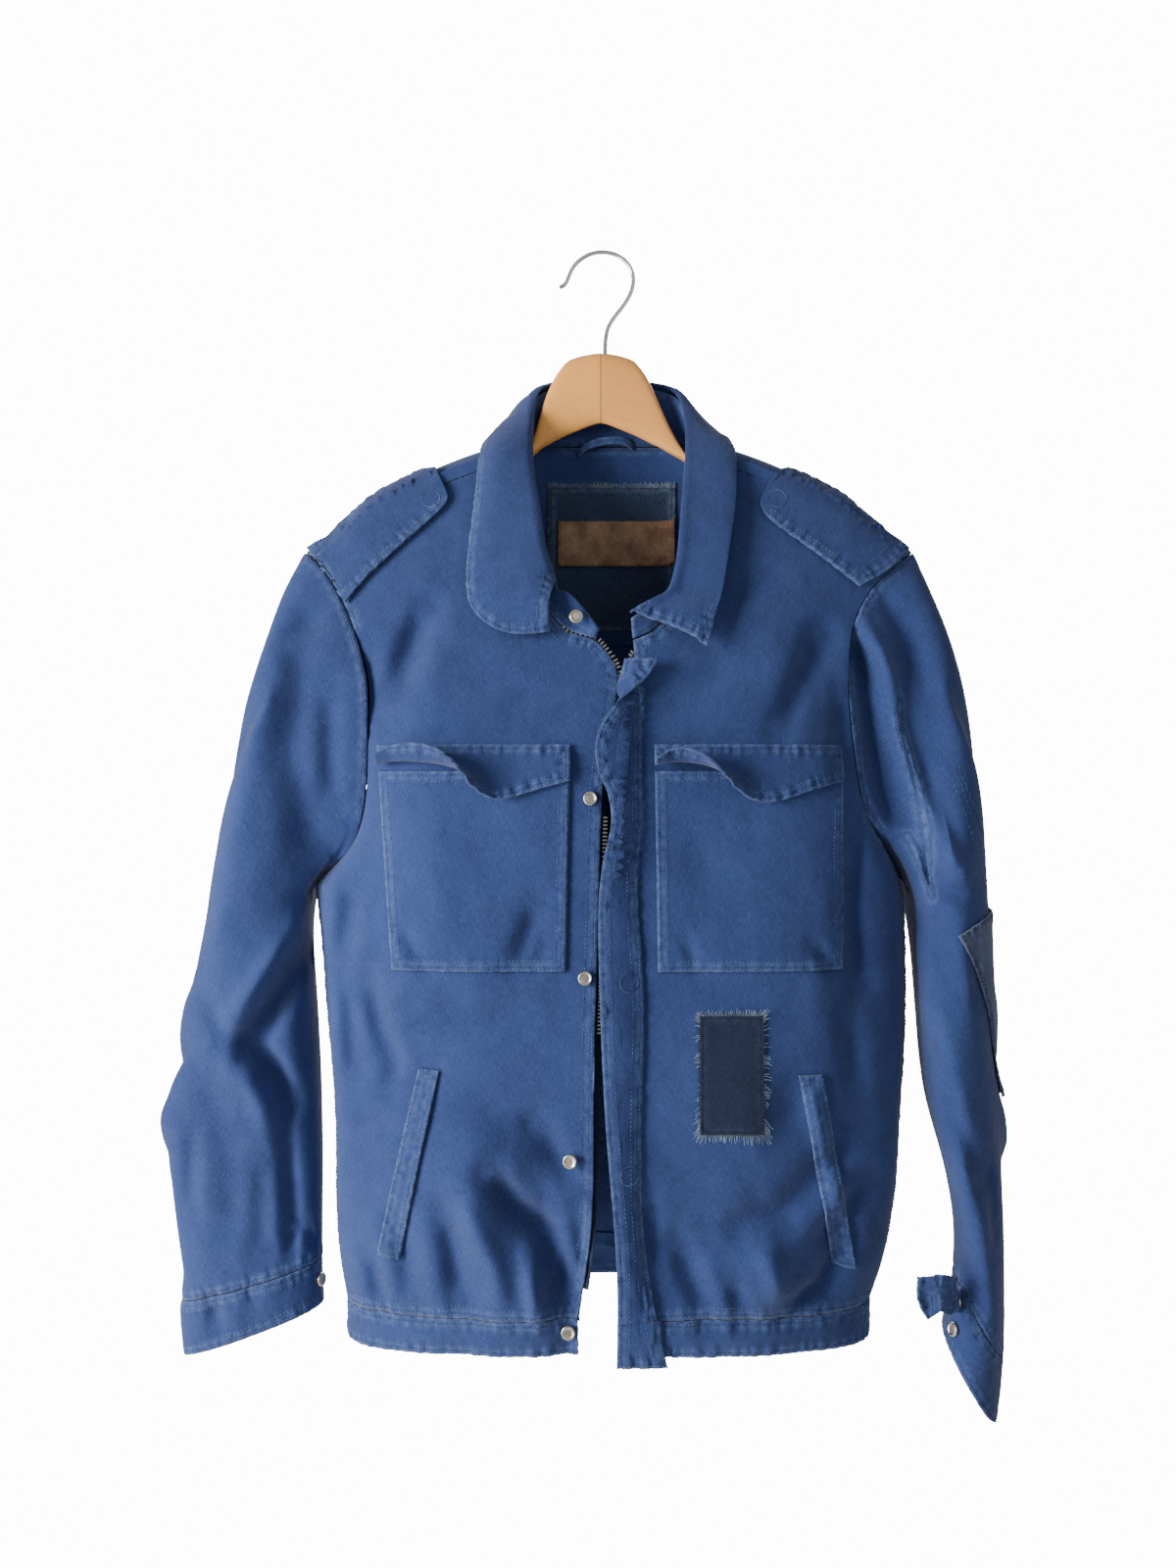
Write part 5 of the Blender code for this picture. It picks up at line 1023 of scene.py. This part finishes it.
sew("lining_stitching", [on_lining(line, lining_surface) for line in INSIDE_LINES], blue_thread, "denim",
    pitch=0.0028)
threads = []
for x in np.linspace(-0.042, 0.059, 110):
    start = on_lining([(x, -0.1805)], lining_surface, 0.0003)
    if start:
        lean = fray.uniform(-0.0012, 0.0012)
        threads.append([start[0] + Vector((0, 0, -0.0015)), start[0] + Vector((lean * 0.4, 0, 0.0008)),
                        start[0] + Vector((lean, -0.0003, fray.uniform(0.0012, 0.0030)))])
sew("lining_fray", threads, pale_fray, "denim", pitch=0.0006, length=0.0011, radius=0.00014)


def worn_leather():
    f = Finish("worn_leather")
    place = f.node("ShaderNodeTexCoord").outputs["Object"]
    edge = f.node("ShaderNodeAttribute", attribute_name="edge").outputs["Fac"]
    grain = f.node("ShaderNodeTexVoronoi", {"Vector": place, "Scale": 1300.0}).outputs["Distance"]
    cloud = f.noise(place, 70.0, 5.0, 0.65)
    hide = f.blend(f.ramp(cloud, 0.36, 0.64), (0.200, 0.105, 0.055, 1), (0.400, 0.245, 0.145, 1))
    scuffs = f.ramp(f.noise(place, 320.0, 3.0, 0.7), 0.56, 0.72, 0.0, 0.5)
    colour = f.blend(scuffs, hide, (0.36, 0.22, 0.13, 1))
    colour = f.blend(f.ramp(edge, 0.0, 0.0016, 0.55, 0.0), colour, (0.035, 0.018, 0.010, 1))
    relief = f.bump(f.value("ADD", grain, f.value("MULTIPLY", cloud, 0.8)), 0.00022, 0.6)
    return f.wear(Base_Color=colour, Roughness=0.62, Specular_IOR_Level=0.4, Normal=relief)


label_surface, _ = cloth("leather_label", to_front, (0.094, 0.037), 0.0034, ["inside_patch"],
                         material=worn_leather(), slot="leather", wall=0.0015, held="laid", pucker=0)
LABEL_ENDS = ([(-0.0318, -0.2085 - 0.001 * i) for i in range(34)],
              [(0.0568, -0.2085 - 0.001 * i) for i in range(34)])
sew("label_stitching", [on_lining(line, label_surface) for line in LABEL_ENDS], dark_thread, "leather",
    pitch=0.0024, length=0.0018)
cloth("hanger_loop", to_front, (0.05, 0.010), 0.0003, ["back_yoke"], pucker=0, bend=False, wall=0.0012)


# Snaps: pressed nickel caps with a rolled rim and a shallow dished face, riveted through the cloth.
def nickel():
    f = Finish("worn_nickel")
    place = f.node("ShaderNodeTexCoord").outputs["Object"]
    dull = f.noise(place, 500.0, 4.0, 0.6)
    colour = f.blend(dull, (0.50, 0.46, 0.38, 1), (0.72, 0.69, 0.62, 1))
    return f.wear(Base_Color=colour, Metallic=1.0, Roughness=f.ramp(dull, 0.3, 0.7, 0.22, 0.42))


# The cap's outline: share of its height, and share of its radius.
CAP = ((0.0, 1.0), (0.45, 1.02), (0.80, 0.96), (1.0, 0.86), (0.98, 0.74), (0.80, 0.68), (0.74, 0.40),
       (0.76, 0.0))
CAP_SIDES = 32
nickel_metal = nickel()
for node in ("collar_snap", "front_snap_1", "front_snap_2", "front_snap_3", "front_snap_4", "cuff_snap_right",
             "cuff_snap_left_1", "cuff_snap_left_2"):
    bm = bmesh.new()
    bm.from_mesh(nodes[node].data)
    bmesh.ops.remove_doubles(bm, verts=bm.verts, dist=1e-5)
    centre = sum((v.co for v in bm.verts), Vector()) / len(bm.verts)
    spans = np.array([v.co for v in bm.verts]) - np.array(centre)
    axis = Vector(np.linalg.svd(spans)[2][2])
    if axis.y > 0:
        axis = -axis
    heights = spans @ np.array(axis)
    low, tall = float(heights.min()), float(heights.max() - heights.min())
    radius = float(np.linalg.norm(spans - np.outer(heights, axis), axis=1).max())
    bm.free()
    across = axis.cross(Vector((0, 0, 1))).normalized()
    up = across.cross(axis)
    verts, faces = [], []
    for level, size in CAP[:-1]:
        for k in range(CAP_SIDES):
            turn = 2 * math.pi * k / CAP_SIDES
            verts.append(centre + axis * (low + tall * level)
                         + (across * math.cos(turn) + up * math.sin(turn)) * radius * size)
    verts.append(centre + axis * (low + tall * CAP[-1][0]))
    verts.append(centre + axis * low)
    last = (len(CAP) - 2) * CAP_SIDES
    for k in range(CAP_SIDES):
        beside = (k + 1) % CAP_SIDES
        for r in range(0, last, CAP_SIDES):
            faces.append((r + k, r + beside, r + beside + CAP_SIDES, r + k + CAP_SIDES))
        faces.append((last + k, last + beside, len(verts) - 2))
        faces.append((beside, k, len(verts) - 1))
    mesh = closed_mesh(node + "_cap", verts, faces)
    mesh.shade_smooth()
    add_piece(node + "_cap", mesh, nickel_metal, "metal", node)
